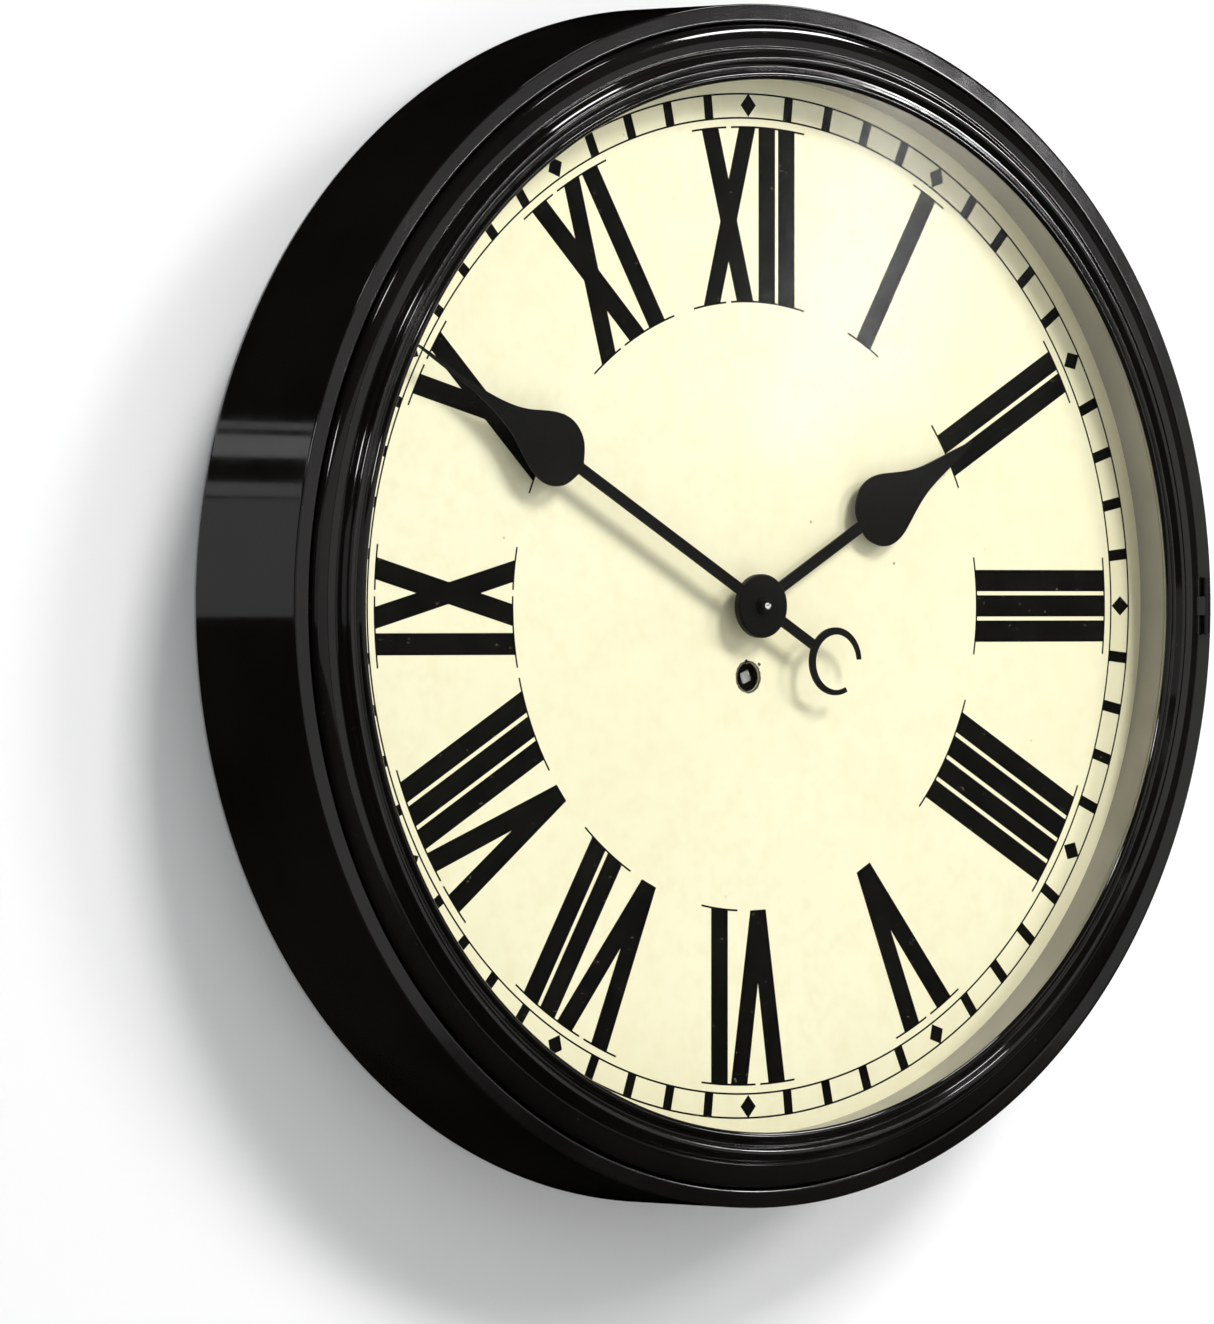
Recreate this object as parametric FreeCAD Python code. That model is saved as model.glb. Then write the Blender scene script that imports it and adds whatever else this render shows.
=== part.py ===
import FreeCAD, Part
import math
import os

from FreeCAD import Vector

# Round wall clock: a straight steel drum with a hinged moulded bezel, a painted dial and an eight-day
# spring movement with a short pendulum.
#
# Each piece is drawn lying on its back: x to the right, y up the dial and t = depth from the wall towards
# the room. export() stands it up, so that the wall plane is y = 0, the dial faces -Y and +Z is up.
# The origin is on the clock's axis, in the wall plane. All sizes are in millimetres.

# ---------------------------------------------------------------- driving dimensions: case and dial
CASE_R = 250.0  # outside radius of the drum
CASE_DEPTH = 65.0  # wall plane to the flat front flange
SHEET = 1.6  # sheet thickness of the drum
EDGE = 1.2  # rounding of the drum's two outer edges
FRONT_FLANGE = 7.5  # width of the flat flange at the front
FRONT_STEP = 5.0  # how far the bezel's shelf lies behind the flange
FRONT_SHELF = 8.5  # width of that shelf
REAR_RIM = 10.0  # width of the rim that touches the wall
REAR_SHELF = 12.0  # width of the shelf that carries the back cover
COVER_THICK = 1.2
COVER_GAP = 0.6
COVER_SCREWS = 6
DIAL_DROP = 12.0  # the dial's face lies this far behind the flange
DIAL_THICK = 1.0
DIAL_MARGIN = 10.9  # dial's edge beyond the inside of the reveal ring
CENTRE_HOLE_R = 4.5
WINDING_HOLE_R = 6.0
WINDING_DROP = 29.5  # winding arbor below the clock's axis
REVEAL_OUT = 1.7  # inside of the cream ring between dial and glass, beyond the bezel's lip
REVEAL_WALL = 1.0
REVEAL_GAP = 0.4  # between that ring and the one that holds the glass
DIAL_SCREW_R = 1.5
BEZEL_GAP = 1.1  # groove between flange and bezel
BEZEL_WIDTH = 23.0  # bezel's outer edge to its lip
BEZEL_RISE = 8.2  # crest of the bezel in front of the flange
GLASS_SINK = 1.8  # glass behind the crest
GLASS_THICK = 1.8
GLASS_SEAT = 4.6  # how much of the glass the lip covers
FIT = 0.1  # small assembly gap
RUN = 0.05  # radial running clearance

# ---------------------------------------------------------------- driving dimensions: bezel hinge and catch
HINGE_OUT = 3.8  # hinge pin outside the bezel's edge
HINGE_RISE = 1.6  # hinge pin in front of the flange
KNUCKLE_R = 1.5
HINGE_PIN_R = 0.7
HINGE_HALF = 12.0
MIDDLE_HALF = 3.9
KNUCKLE_GAP = 0.2
LEAF_THICK = 0.6
STUD_R = 1.5

# ---------------------------------------------------------------- driving dimensions: hands
HAND_THICK = 1.0
DRAWN_REACH = 220.1  # reveal radius that the two outlines below are drawn for
HOUR_HAND_RISE = 4.7  # dial face to the back of the hour hand's blade
MINUTE_HAND_RISE = 8.5
BOSS_R = 13.3
BOSS_THICK = 3.0
HOUR_BOSS_R = 9.0
STEM_HALF = 2.45
MINUTE_ANGLE = -60.0  # clockwise from twelve, in degrees
HOUR_ANGLE = 60.0
MINUTE_SPADE = [(2.45, 113.0), (6.3, 114.7), (10.0, 117.0), (12.9, 120.5), (15.0, 126.8), (14.3, 133.3),
                (10.8, 141.8), (6.9, 149.5), (4.4, 157.0), (2.8, 165.0), (1.4, 178.0), (0.4, 211.8)]
HOUR_SPADE = [(2.45, 66.3), (7.2, 67.4), (10.7, 70.0), (13.3, 73.0), (15.0, 78.3), (14.0, 86.0),
              (11.4, 92.0), (8.2, 99.0), (5.6, 106.5), (3.9, 115.5), (2.4, 126.0), (0.4, 137.5)]
CRESCENT_AT = 46.2
CRESCENT_R = 14.2
CRESCENT_BORE = 11.6
CRESCENT_SHIFT = 0.8  # the bore is further out, so the horns taper
CRESCENT_OPEN = 33.0  # half of the opening, in degrees

# ---------------------------------------------------------------- driving dimensions: movement
PLATE_HALF_WIDTH = 47.0
PLATE_TOP = 64.0
PLATE_BOTTOM = -58.0
PLATE_THICK = 2.0
BACK_PLATE = 13.5  # wall plane to the rear of the back plate
PLATE_SPACE = 26.0
PILLAR_R = 3.6
PILLAR_INSET = 6.5
PLATE_SCREW_R = 1.5
PIVOT_R = 0.8
FINE_PIVOT_R = 0.6
ARBOR_R = 1.6
FINE_ARBOR_R = 0.95
END_PLAY = 0.2
PENDULUM_AT = 8.4  # wall plane to the middle of the pendulum rod
PENDULUM_LENGTH = 196.0  # 8100 beats an hour
ROD_R = 1.25
BOB_R = 24.0
BOB_HALF_THICK = 4.4
SPRING_HALF = 0.1
WHEEL_THICK = 1.2
BARREL_R = 22.0
BARREL_WALL = 1.4
SQUARE_HALF = 2.3  # half of the winding square's width
CANNON_R = 2.2
HOUR_PIPE_R = 3.3
CENTRE_SHAFT_R = 1.5

# tooth counts and modules, each wheel with the pinion that it turns
GREAT_TEETH, SECOND_LEAVES, GREAT_MODULE = 84, 12, 0.60
SECOND_TEETH, CENTRE_LEAVES, SECOND_MODULE = 72, 12, 0.60
CENTRE_TEETH, THIRD_LEAVES, CENTRE_MODULE = 96, 8, 0.45
THIRD_TEETH, ESCAPE_LEAVES, THIRD_MODULE = 90, 8, 0.40
CANNON_TEETH, MINUTE_TEETH, MINUTE_LEAVES, HOUR_TEETH, MOTION_MODULE = 15, 45, 12, 48, 0.50
ESCAPE_TEETH, ESCAPE_R, ESCAPE_DEPTH = 30, 15.5, 2.4
RATCHET_TEETH, RATCHET_R, RATCHET_DEPTH = 24, 11.0, 1.8
PALLET_CLEAR = 1.3  # the pallets stand this far off the tooth tips
CLICK_FACE = -60.0  # bearing of the ratchet tooth that the click holds

# ---------------------------------------------------------------- derived depths and radii
DIAL_FRONT = CASE_DEPTH - DIAL_DROP
BEZEL_FRONT = CASE_DEPTH + BEZEL_RISE
GLASS_FRONT = BEZEL_FRONT - GLASS_SINK
DIAL_BACK = DIAL_FRONT - DIAL_THICK
BACK_INNER = BACK_PLATE + PLATE_THICK
FRONT_INNER = BACK_INNER + PLATE_SPACE
FRONT_PLATE = FRONT_INNER + PLATE_THICK
FLANGE_R = CASE_R - FRONT_FLANGE
SHELF_FRONT = CASE_DEPTH - FRONT_STEP
SHELF_R = FLANGE_R - FRONT_SHELF
BEZEL_R = FLANGE_R - BEZEL_GAP
LIP_R = BEZEL_R - BEZEL_WIDTH
GLASS_BACK = GLASS_FRONT - GLASS_THICK
GLASS_R = LIP_R + GLASS_SEAT
REVEAL_R = LIP_R + REVEAL_OUT
REVEAL_DEPTH = GLASS_BACK - 1.5 - REVEAL_GAP - DIAL_FRONT
DIAL_R = REVEAL_R + DIAL_MARGIN
RIM_R = CASE_R - REAR_RIM
COVER_R = RIM_R - COVER_GAP
COVER_SHELF_R = RIM_R - REAR_SHELF
SHELF_INNER = COVER_THICK + SHEET
WALL_R = CASE_R - SHEET
SCREW_RING_R = (COVER_R + COVER_SHELF_R) / 2
DIAL_SCREW_RING_R = DIAL_R - 5.0
HOUR_HAND = DIAL_FRONT + HOUR_HAND_RISE
MINUTE_HAND = DIAL_FRONT + MINUTE_HAND_RISE
BOSS_BACK = MINUTE_HAND + HAND_THICK + 0.4 - BOSS_THICK
BOSS_FRONT = BOSS_BACK + BOSS_THICK
HINGE = (BEZEL_R + HINGE_OUT, CASE_DEPTH + HINGE_RISE)
CATCH_R = BEZEL_R - 2.7
GREAT_WHEEL = BACK_INNER + 8.5
SECOND_WHEEL = BACK_INNER + 5.3
CENTRE_WHEEL = BACK_INNER + 1.5
THIRD_WHEEL = BACK_INNER + 12.5
ESCAPE_WHEEL = BACK_INNER + 18.5
CANNON = FRONT_PLATE + 0.5
RATCHET = FRONT_PLATE + 0.3


def apart(module, teeth, leaves):
    """Distance between the centres of a meshing pair."""
    return module * (teeth + leaves) / 2


def right_of(first, reach_first, second, reach_second):
    """The point at two given distances from two centres, to the right of the line from first to second."""
    dx, dy = second[0] - first[0], second[1] - first[1]
    span = math.hypot(dx, dy)
    along = (reach_first**2 - reach_second**2 + span**2) / (2 * span)
    across = math.sqrt(reach_first**2 - along**2)
    return (first[0] + (along * dx + across * dy) / span, first[1] + (along * dy - across * dx) / span)


def polar(radius, degrees, at=(0.0, 0.0)):
    a = math.radians(degrees)
    return (at[0] + radius * math.cos(a), at[1] + radius * math.sin(a))


def bearing(here, there):
    return math.degrees(math.atan2(there[1] - here[1], there[0] - here[0]))


# ---------------------------------------------------------------- where the arbors stand
CENTRE = (0.0, 0.0)
BARREL = (0.0, -WINDING_DROP)
SECOND = right_of(BARREL, apart(GREAT_MODULE, GREAT_TEETH, SECOND_LEAVES),
                  CENTRE, apart(SECOND_MODULE, SECOND_TEETH, CENTRE_LEAVES))
THIRD = polar(apart(CENTRE_MODULE, CENTRE_TEETH, THIRD_LEAVES), 127.0)
ESCAPE_REACH = apart(THIRD_MODULE, THIRD_TEETH, ESCAPE_LEAVES)
ESCAPE = (0.0, THIRD[1] + math.sqrt(ESCAPE_REACH**2 - THIRD[0]**2))
ANCHOR = (0.0, ESCAPE[1] + ESCAPE_R * math.sqrt(2))
MINUTE_POST = (-apart(MOTION_MODULE, CANNON_TEETH, MINUTE_TEETH), 0.0)
CLICK = polar(RATCHET_R + 6.0, CLICK_FACE + 50.0, BARREL)
PILLAR_X = PLATE_HALF_WIDTH - PILLAR_INSET
PILLARS = [(x, y) for x in (-PILLAR_X, PILLAR_X)
           for y in (PLATE_BOTTOM + PILLAR_INSET, PLATE_TOP - PILLAR_INSET)]
DIAL_FEET = [(x, y) for x in (-PILLAR_X, PILLAR_X) for y in (-24.0, 30.0)]
COCK_SCREWS = [(-6.5, ANCHOR[1] + 6.3), (6.5, ANCHOR[1] + 6.3)]
BRACKETS = [45.0, 135.0, 225.0, 315.0]
HANGER_Y = CASE_R - 37.0  # middle of the keyhole's narrow end


# ---------------------------------------------------------------- shape helpers
def disc(radius, t0, t1, at=(0.0, 0.0)):
    return Part.makeCylinder(radius, t1 - t0, Vector(at[0], at[1], t0))


def tube(outer, inner, t0, t1, at=(0.0, 0.0)):
    return disc(outer, t0, t1, at).cut(disc(inner, t0 - 1, t1 + 1, at))


def block(x0, x1, y0, y1, t0, t1):
    return Part.makeBox(x1 - x0, y1 - y0, t1 - t0, Vector(x0, y0, t0))


def upright(radius, x, t, y0, y1):
    """A round bar standing along y."""
    return Part.makeCylinder(radius, y1 - y0, Vector(x, y0, t), Vector(0, 1, 0))


def spun(shape, degrees, at=(0.0, 0.0)):
    """A copy turned in the plane of the dial."""
    turned_shape = shape.copy()
    turned_shape.rotate(Vector(at[0], at[1], 0), Vector(0, 0, 1), degrees)
    return turned_shape


def ring(start, *steps):
    """A ring about the clock's axis. Its section is a closed chain of (radius, t) points, and a step that is
    a pair of points is an arc through the first to the second."""
    def lift(p):
        return Vector(p[0], 0, p[1])
    edges, here = [], lift(start)
    for step in list(steps) + [start]:
        if isinstance(step[0], tuple):
            edges.append(Part.Arc(here, lift(step[0]), lift(step[1])).toShape())
            here = lift(step[1])
        else:
            edges.append(Part.makeLine(here, lift(step)))
            here = lift(step)
    face = Part.Face(Part.Wire(edges))
    return face.revolve(Vector(0, 0, 0), Vector(0, 0, 1), 360)


def plate(points, t0, t1):
    """A flat piece with straight edges."""
    corners = [Vector(x, y, t0) for x, y in points]
    return Part.Face(Part.makePolygon(corners + corners[:1])).extrude(Vector(0, 0, t1 - t0))


def join(first, *others):
    return first.fuse(list(others)).removeSplitter()


def drilled(shape, radius, places, t0=-1.0, t1=80.0):
    return shape.cut([disc(radius, t0, t1, at) for at in places])


def group(shapes):
    return Part.makeCompound(list(shapes))


def screw(at, t, radius, length, head_r, head, into):
    """A slotted cheese-head screw. Its head stands on depth t, and into is the way the shank goes."""
    shank = disc(radius, *sorted((t, t + into * length)), at)
    cap = disc(head_r, *sorted((t, t - into * head)), at)
    slot = block(at[0] - head_r, at[0] + head_r, at[1] - 0.3, at[1] + 0.3,
                 *sorted((t - into * head * 0.5, t - into * (head + 1))))
    return join(shank, cap).cut(slot)


# ---------------------------------------------------------------- wheels and pinions
WHEEL_TOOTH = [(-1.25, 0.25), (0.0, 0.215), (0.55, 0.16), (1.0, 0.06)]
LEAF = [(-1.55, 0.13), (0.0, 0.145), (0.45, 0.115), (0.75, 0.05)]


def toothed(form, teeth, module, t0, t1, at, first):
    """A toothed disc with one tooth centred on the bearing first. form gives half of a tooth as rise above
    the pitch circle in modules and half-width as a share of the tooth spacing."""
    step = 360.0 / teeth
    flanks = [(rise, -share) for rise, share in form] + [(rise, share) for rise, share in reversed(form)]
    points = [polar(module * (teeth / 2 + rise), first + (k + share) * step, at)
              for k in range(teeth) for rise, share in flanks]
    return plate(points, t0, t1)


def meshed(first, teeth, at, other_teeth, other_at):
    """Bearing of a tooth on the other wheel that puts the two in mesh."""
    line = bearing(at, other_at)
    return line + 180.0 + (line - first) * teeth / other_teeth + 180.0 / other_teeth


def crossed_wheel(teeth, module, t, at, bore, arms=4):
    """A brass wheel with its crossings sawn out, bored for its seat on the arbor."""
    rim = module * teeth / 2 - 1.25 * module - 1.8
    hub = bore + 3.2
    windows = tube(rim, hub, t - 1, t + WHEEL_THICK + 1, at)
    arm = block(at[0], at[0] + rim + 1, at[1] - 1.2, at[1] + 1.2, t - 2, t + WHEEL_THICK + 2)
    windows = windows.cut([spun(arm, 45.0 + 360.0 * k / arms, at) for k in range(arms)])
    blank = toothed(WHEEL_TOOTH, teeth, module, t, t + WHEEL_THICK, at, 0.0)
    return blank.cut([windows, disc(bore, t - 1, t + WHEEL_THICK + 1, at)])


def arbor(at, radius, pivot, pinion=None, collet=None, front=None):
    """A steel arbor between the plates. front = (radius, end) replaces the front pivot by a longer shaft."""
    body = disc(radius, BACK_INNER + END_PLAY, FRONT_INNER - END_PLAY, at)
    back = disc(pivot, BACK_PLATE + FIT, FRONT_INNER - 2, at)
    tip = disc(front[0], FRONT_INNER - 2, front[1], at) if front else \
        disc(pivot, FRONT_INNER - 2, FRONT_PLATE - FIT, at)
    pieces = [back, tip]
    if collet:
        pieces.append(disc(collet[0], collet[1], collet[2], at))
    if pinion:
        pieces.append(pinion)
    return join(body, *pieces)


# ---------------------------------------------------------------- case
def case_drum():
    """One sheet: flat flange and shelf in front, plain wall, rim and shelf behind."""
    shell = ring((RIM_R, 0.0), (CASE_R - EDGE, 0.0),
                 ((CASE_R - 0.29 * EDGE, 0.29 * EDGE), (CASE_R, EDGE)),
                 (CASE_R, CASE_DEPTH - EDGE),
                 ((CASE_R - 0.29 * EDGE, CASE_DEPTH - 0.29 * EDGE), (CASE_R - EDGE, CASE_DEPTH)),
                 (FLANGE_R, CASE_DEPTH), (FLANGE_R, SHELF_FRONT), (SHELF_R, SHELF_FRONT),
                 (SHELF_R, SHELF_FRONT - SHEET), (FLANGE_R + SHEET, SHELF_FRONT - SHEET),
                 (FLANGE_R + SHEET, CASE_DEPTH - SHEET), (WALL_R, CASE_DEPTH - SHEET), (WALL_R, SHEET),
                 (RIM_R + SHEET, SHEET), (RIM_R + SHEET, SHELF_INNER), (COVER_SHELF_R, SHELF_INNER),
                 (COVER_SHELF_R, COVER_THICK), (RIM_R, COVER_THICK))
    shell = drilled(shell, 1.3, cover_screw_places(), 0.0, 10.0)
    shell = drilled(shell, 1.5, hanger_rivet_places(), 0.0, 10.0)
    return drilled(shell, STUD_R + 1.0, [(-CATCH_R, 0.0)], SHELF_FRONT - 4, SHELF_FRONT + 1)


def cover_screw_places():
    return [polar(SCREW_RING_R, 360.0 * k / COVER_SCREWS) for k in range(COVER_SCREWS)]


def hanger_rivet_places():
    return [polar(SCREW_RING_R, 90.0 + side * 6.0) for side in (-1, 1)]


def back_cover():
    """Sheet disc with a window behind the keyhole for the head of the wall screw."""
    cover = disc(COVER_R, 0.0, COVER_THICK)
    window = block(-9.0, 9.0, HANGER_Y - 26.0, HANGER_Y + 8.0, -1.0, COVER_THICK + 1)
    cover = cover.cut(window)
    for at in cover_screw_places():
        cover = cover.cut(Part.makeCone(2.6, 1.3, COVER_THICK, Vector(at[0], at[1], 0)))
    return drilled(cover, 1.6, hanger_rivet_places(), -1.0, 5.0)


def back_cover_screws():
    """Countersunk screws, flush with the cover."""
    return group(join(Part.makeCone(2.6, 1.3, COVER_THICK, Vector(x, y, 0)), disc(1.3, COVER_THICK, 6.0, (x, y)))
                 .cut(block(x - 3, x + 3, y - 0.3, y + 0.3, -1, 0.5)) for x, y in cover_screw_places())


def hanger_plate():
    """Steel strap with the keyhole that the clock hangs from."""
    strap = block(-34.0, 34.0, HANGER_Y - 12.0, SCREW_RING_R + 5.0, SHELF_INNER, SHELF_INNER + 2.0)
    strap = join(strap, block(-16.0, 16.0, HANGER_Y - 30.0, HANGER_Y - 10.0, SHELF_INNER, SHELF_INNER + 2.0))
    strap = strap.common(disc(RIM_R, 0.0, 20.0))
    strap = drilled(strap, 1.5, hanger_rivet_places())
    slot = block(-2.6, 2.6, HANGER_Y - 18.0, HANGER_Y, -1.0, 20.0)
    return strap.cut([slot, disc(2.6, -1, 20, (0, HANGER_Y)), disc(6.0, -1, 20, (0, HANGER_Y - 19.0))])


def hanger_rivets():
    top = SHELF_INNER + 2.0
    return group(join(disc(1.5, COVER_THICK - 1.0, top, at), disc(2.8, top, top + 1.4, at))
                 for at in hanger_rivet_places())


def dial_brackets():
    """Four steel angles spot-welded to the drum. The dial lies on them."""
    foot = block(WALL_R - 4.0, CASE_R, -10.0, 10.0, DIAL_BACK - 14.0, DIAL_BACK)
    foot = foot.common(tube(WALL_R, WALL_R - SHEET, DIAL_BACK - 14.0, DIAL_BACK))
    arm = block(DIAL_SCREW_RING_R - 5.0, WALL_R - 1.2, -10.0, 10.0, DIAL_BACK - SHEET, DIAL_BACK)
    bracket = drilled(join(foot, arm), DIAL_SCREW_R, [(DIAL_SCREW_RING_R, 0.0)])
    return group(spun(bracket, a) for a in BRACKETS)


def dial():
    """Flat sheet with the centre hole, the winding hole and four screw holes."""
    face = disc(DIAL_R, DIAL_BACK, DIAL_FRONT)
    face = drilled(face, DIAL_SCREW_R + FIT, [polar(DIAL_SCREW_RING_R, a) for a in BRACKETS])
    return face.cut([disc(CENTRE_HOLE_R, 0, 80, CENTRE), disc(WINDING_HOLE_R, 0, 80, BARREL)])


def reveal_ring():
    """Cream ring that stands on the dial, with a flat foot and a turned-out top."""
    top = DIAL_FRONT + REVEAL_DEPTH
    wall = REVEAL_R + REVEAL_WALL
    shape = ring((REVEAL_R, DIAL_FRONT), (DIAL_R - 1.5, DIAL_FRONT), (DIAL_R - 1.5, DIAL_FRONT + 0.8),
                 (wall, DIAL_FRONT + 0.8), (wall, top - 1.0), (wall + 1.0, top - 1.0), (wall + 1.0, top),
                 (REVEAL_R + 0.5, top), ((REVEAL_R + 0.15, top - 0.15), (REVEAL_R, top - 0.5)))
    return drilled(shape, DIAL_SCREW_R + FIT, [polar(DIAL_SCREW_RING_R, a) for a in BRACKETS])


def dial_screws():
    return group(screw(polar(DIAL_SCREW_RING_R, a), DIAL_FRONT + 0.8, DIAL_SCREW_R, 6.0, 3.0, 1.6, -1)
                 for a in BRACKETS)


# ---------------------------------------------------------------- bezel
def bezel_section():
    """Moulding from the rounded outer edge over a swell, flat, groove, crest and slope to the lip."""
    low = CASE_DEPTH - 1.0
    crest = BEZEL_FRONT
    edge = BEZEL_R
    return ring((edge, low), (edge, low + 1.2), ((edge - 0.5, low + 2.7), (edge - 1.5, low + 3.5)),
                ((edge - 4.1, low + 4.4), (edge - 6.8, low + 4.7)), (edge - 9.2, low + 4.8),
                (edge - 9.9, low + 4.0), (edge - 10.9, low + 4.5),
                ((edge - 11.5, low + 6.3), (edge - 12.9, low + 7.5)),
                ((edge - 13.2, crest - 0.5), (edge - 13.9, crest)), (edge - 15.4, crest - 0.1),
                (edge - 17.4, crest - 2.0), (edge - 18.9, crest - 2.0), (edge - 19.1, crest - 2.3),
                (edge - 19.4, crest - 1.9),
                ((edge - 21.2, crest - 0.7), (LIP_R, crest - 1.7)), (LIP_R, GLASS_FRONT),
                (GLASS_R + FIT, GLASS_FRONT), (GLASS_R + FIT, GLASS_BACK - 1.5),
                (GLASS_R + 2.5, GLASS_BACK - 1.5), (edge - 12.0, low + 2.6), (edge - 4.6, low + 2.6),
                (edge - 1.6, low))


def bezel_ring():
    return drilled(bezel_section(), STUD_R - 0.3, [(-CATCH_R, 0.0)], CASE_DEPTH - 2, CASE_DEPTH + 2.4)


def bezel_glass():
    return disc(GLASS_R, GLASS_BACK, GLASS_FRONT)


def glass_retainer():
    """Cream ring that holds the glass against the lip."""
    return ring((REVEAL_R - 0.4, GLASS_BACK - 0.9), ((REVEAL_R, GLASS_BACK - 1.4), (REVEAL_R + 0.6, GLASS_BACK - 1.5)),
                (GLASS_R + FIT, GLASS_BACK - 1.5), (GLASS_R + FIT, GLASS_BACK), (REVEAL_R - 0.4, GLASS_BACK))


def hinge_knuckle(y0, y1, bore):
    x, t = HINGE
    return upright(KNUCKLE_R, x, t, y0, y1).cut(upright(bore, x, t, y0 - 1, y1 + 1))


def hinge_case_leaf():
    """Leaf in the groove, with a knuckle at each end."""
    x, t = HINGE
    inner = FLANGE_R - LEAF_THICK - 0.3
    first = MIDDLE_HALF + KNUCKLE_GAP
    leaf = block(inner, inner + LEAF_THICK, -HINGE_HALF, HINGE_HALF, SHELF_FRONT, CASE_DEPTH + 0.1)
    for y0, y1 in ((-HINGE_HALF, -first), (first, HINGE_HALF)):
        tab = block(inner, x, y0, y1, CASE_DEPTH + 0.1, CASE_DEPTH + 0.7).cut(upright(HINGE_PIN_R, x, t, y0, y1))
        leaf = join(leaf, tab, hinge_knuckle(y0, y1, HINGE_PIN_R))
    return leaf


def hinge_bezel_leaf():
    """Tab soldered to the bezel, with the middle knuckle."""
    x, t = HINGE
    tab = block(BEZEL_R - 3.4, x, -MIDDLE_HALF, MIDDLE_HALF, t + 0.3, t + 1.1)
    tab = tab.cut([bezel_section(), upright(HINGE_PIN_R + RUN, x, t, -20, 20)])
    return join(tab, hinge_knuckle(-MIDDLE_HALF, MIDDLE_HALF, HINGE_PIN_R + RUN))


def hinge_pin():
    return upright(HINGE_PIN_R, HINGE[0], HINGE[1], -HINGE_HALF - 0.4, HINGE_HALF + 0.4)


def catch_stud():
    """Stud on the bezel that pushes into the clip."""
    at = (-CATCH_R, 0.0)
    tip = Part.makeCone(STUD_R - 0.6, STUD_R, 1.0, Vector(at[0], at[1], SHELF_FRONT - 7.0))
    stem = disc(STUD_R, SHELF_FRONT - 6.0, CASE_DEPTH + 1.6, at)
    stem = stem.cut(tube(STUD_R + 1, STUD_R - 0.3, CASE_DEPTH - 0.4, CASE_DEPTH + 2, at))
    return join(stem, tip).cut(bezel_ring())


def catch_clip():
    """Spring-steel clip behind the shelf, a sliding fit on the stud."""
    x = -CATCH_R
    top = SHELF_FRONT - SHEET
    wide = block(x - 2.6, x + 3.4, -7.0, 7.0, top - 0.8, top)
    sleeve = disc(STUD_R + 0.9, top - 5.0, top, (x, 0.0))
    cut = block(x - 0.4, x + 5.0, -0.4, 0.4, top - 6.0, top - 1.2)
    return join(wide, sleeve).cut([disc(STUD_R + 0.08, 0, 80, (x, 0.0)), cut])


# ---------------------------------------------------------------- plates
def movement_plate(t, holes):
    body = block(-PLATE_HALF_WIDTH, PLATE_HALF_WIDTH, PLATE_BOTTOM, PLATE_TOP, t, t + PLATE_THICK)
    corners = [e for e in body.Edges if abs(e.tangentAt(e.FirstParameter).z) > 0.9]
    body = body.makeFillet(4.0, corners)
    for radius, places in holes:
        body = drilled(body, radius, places)
    return body


def back_plate():
    return movement_plate(BACK_PLATE, [(PIVOT_R + RUN, [SECOND, CENTRE]), (FINE_PIVOT_R + RUN, [THIRD, ESCAPE]),
                                       (2.4 + RUN, [BARREL]), (1.2 + RUN, [ANCHOR]),
                                       (PLATE_SCREW_R + FIT, PILLARS), (1.2, COCK_SCREWS)])


def front_plate():
    return movement_plate(FRONT_INNER, [(PIVOT_R + RUN, [SECOND]), (FINE_PIVOT_R + RUN, [THIRD, ESCAPE, ANCHOR]),
                                        (CENTRE_SHAFT_R + RUN, [CENTRE]), (3.35 + RUN, [BARREL]),
                                        (PLATE_SCREW_R + FIT, PILLARS + DIAL_FEET), (1.5, [MINUTE_POST]),
                                        (1.0, [CLICK])])


def plate_pillars():
    pillars = []
    for at in PILLARS:
        body = tube(PILLAR_R, PLATE_SCREW_R, BACK_INNER, FRONT_INNER, at)
        waist = tube(PILLAR_R + 1, PILLAR_R - 0.6, BACK_INNER + 5, FRONT_INNER - 5, at)
        pillars.append(body.cut(waist))
    return group(pillars)


def plate_screws():
    backs = [screw(at, BACK_PLATE, PLATE_SCREW_R, 8.0, 3.2, 1.5, 1) for at in PILLARS]
    fronts = [screw(at, FRONT_PLATE, PLATE_SCREW_R, 8.0, 3.2, 1.5, -1) for at in PILLARS]
    return group(backs + fronts)


def dial_feet():
    return group(join(disc(3.0, FRONT_PLATE, DIAL_BACK, at), disc(PLATE_SCREW_R, FRONT_INNER - 3.0, FRONT_PLATE, at))
                 for at in DIAL_FEET)


def dial_foot_nuts():
    nuts = []
    for at in DIAL_FEET:
        hexagon = plate([polar(3.2, 60.0 * k, at) for k in range(6)], FRONT_INNER - 2.2, FRONT_INNER)
        nuts.append(hexagon.cut(disc(PLATE_SCREW_R, 0, 80, at)))
    return group(nuts)


# ---------------------------------------------------------------- power: barrel, spring, ratchet
def barrel():
    """Toothed drum, closed at the back."""
    floor = GREAT_WHEEL + 2.2
    gear = toothed(WHEEL_TOOTH, GREAT_TEETH, GREAT_MODULE, GREAT_WHEEL, GREAT_WHEEL + 1.6, BARREL, 0.0)
    drum = disc(BARREL_R, GREAT_WHEEL, FRONT_INNER - 2.5, BARREL)
    hollow = disc(BARREL_R - BARREL_WALL, floor, 80, BARREL)
    return join(gear, drum).cut([hollow, disc(4.0 + RUN, 0, 80, BARREL)])


def barrel_cap():
    return tube(BARREL_R - BARREL_WALL, 4.0 + RUN, FRONT_INNER - 3.9, FRONT_INNER - 2.5, BARREL)


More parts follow.
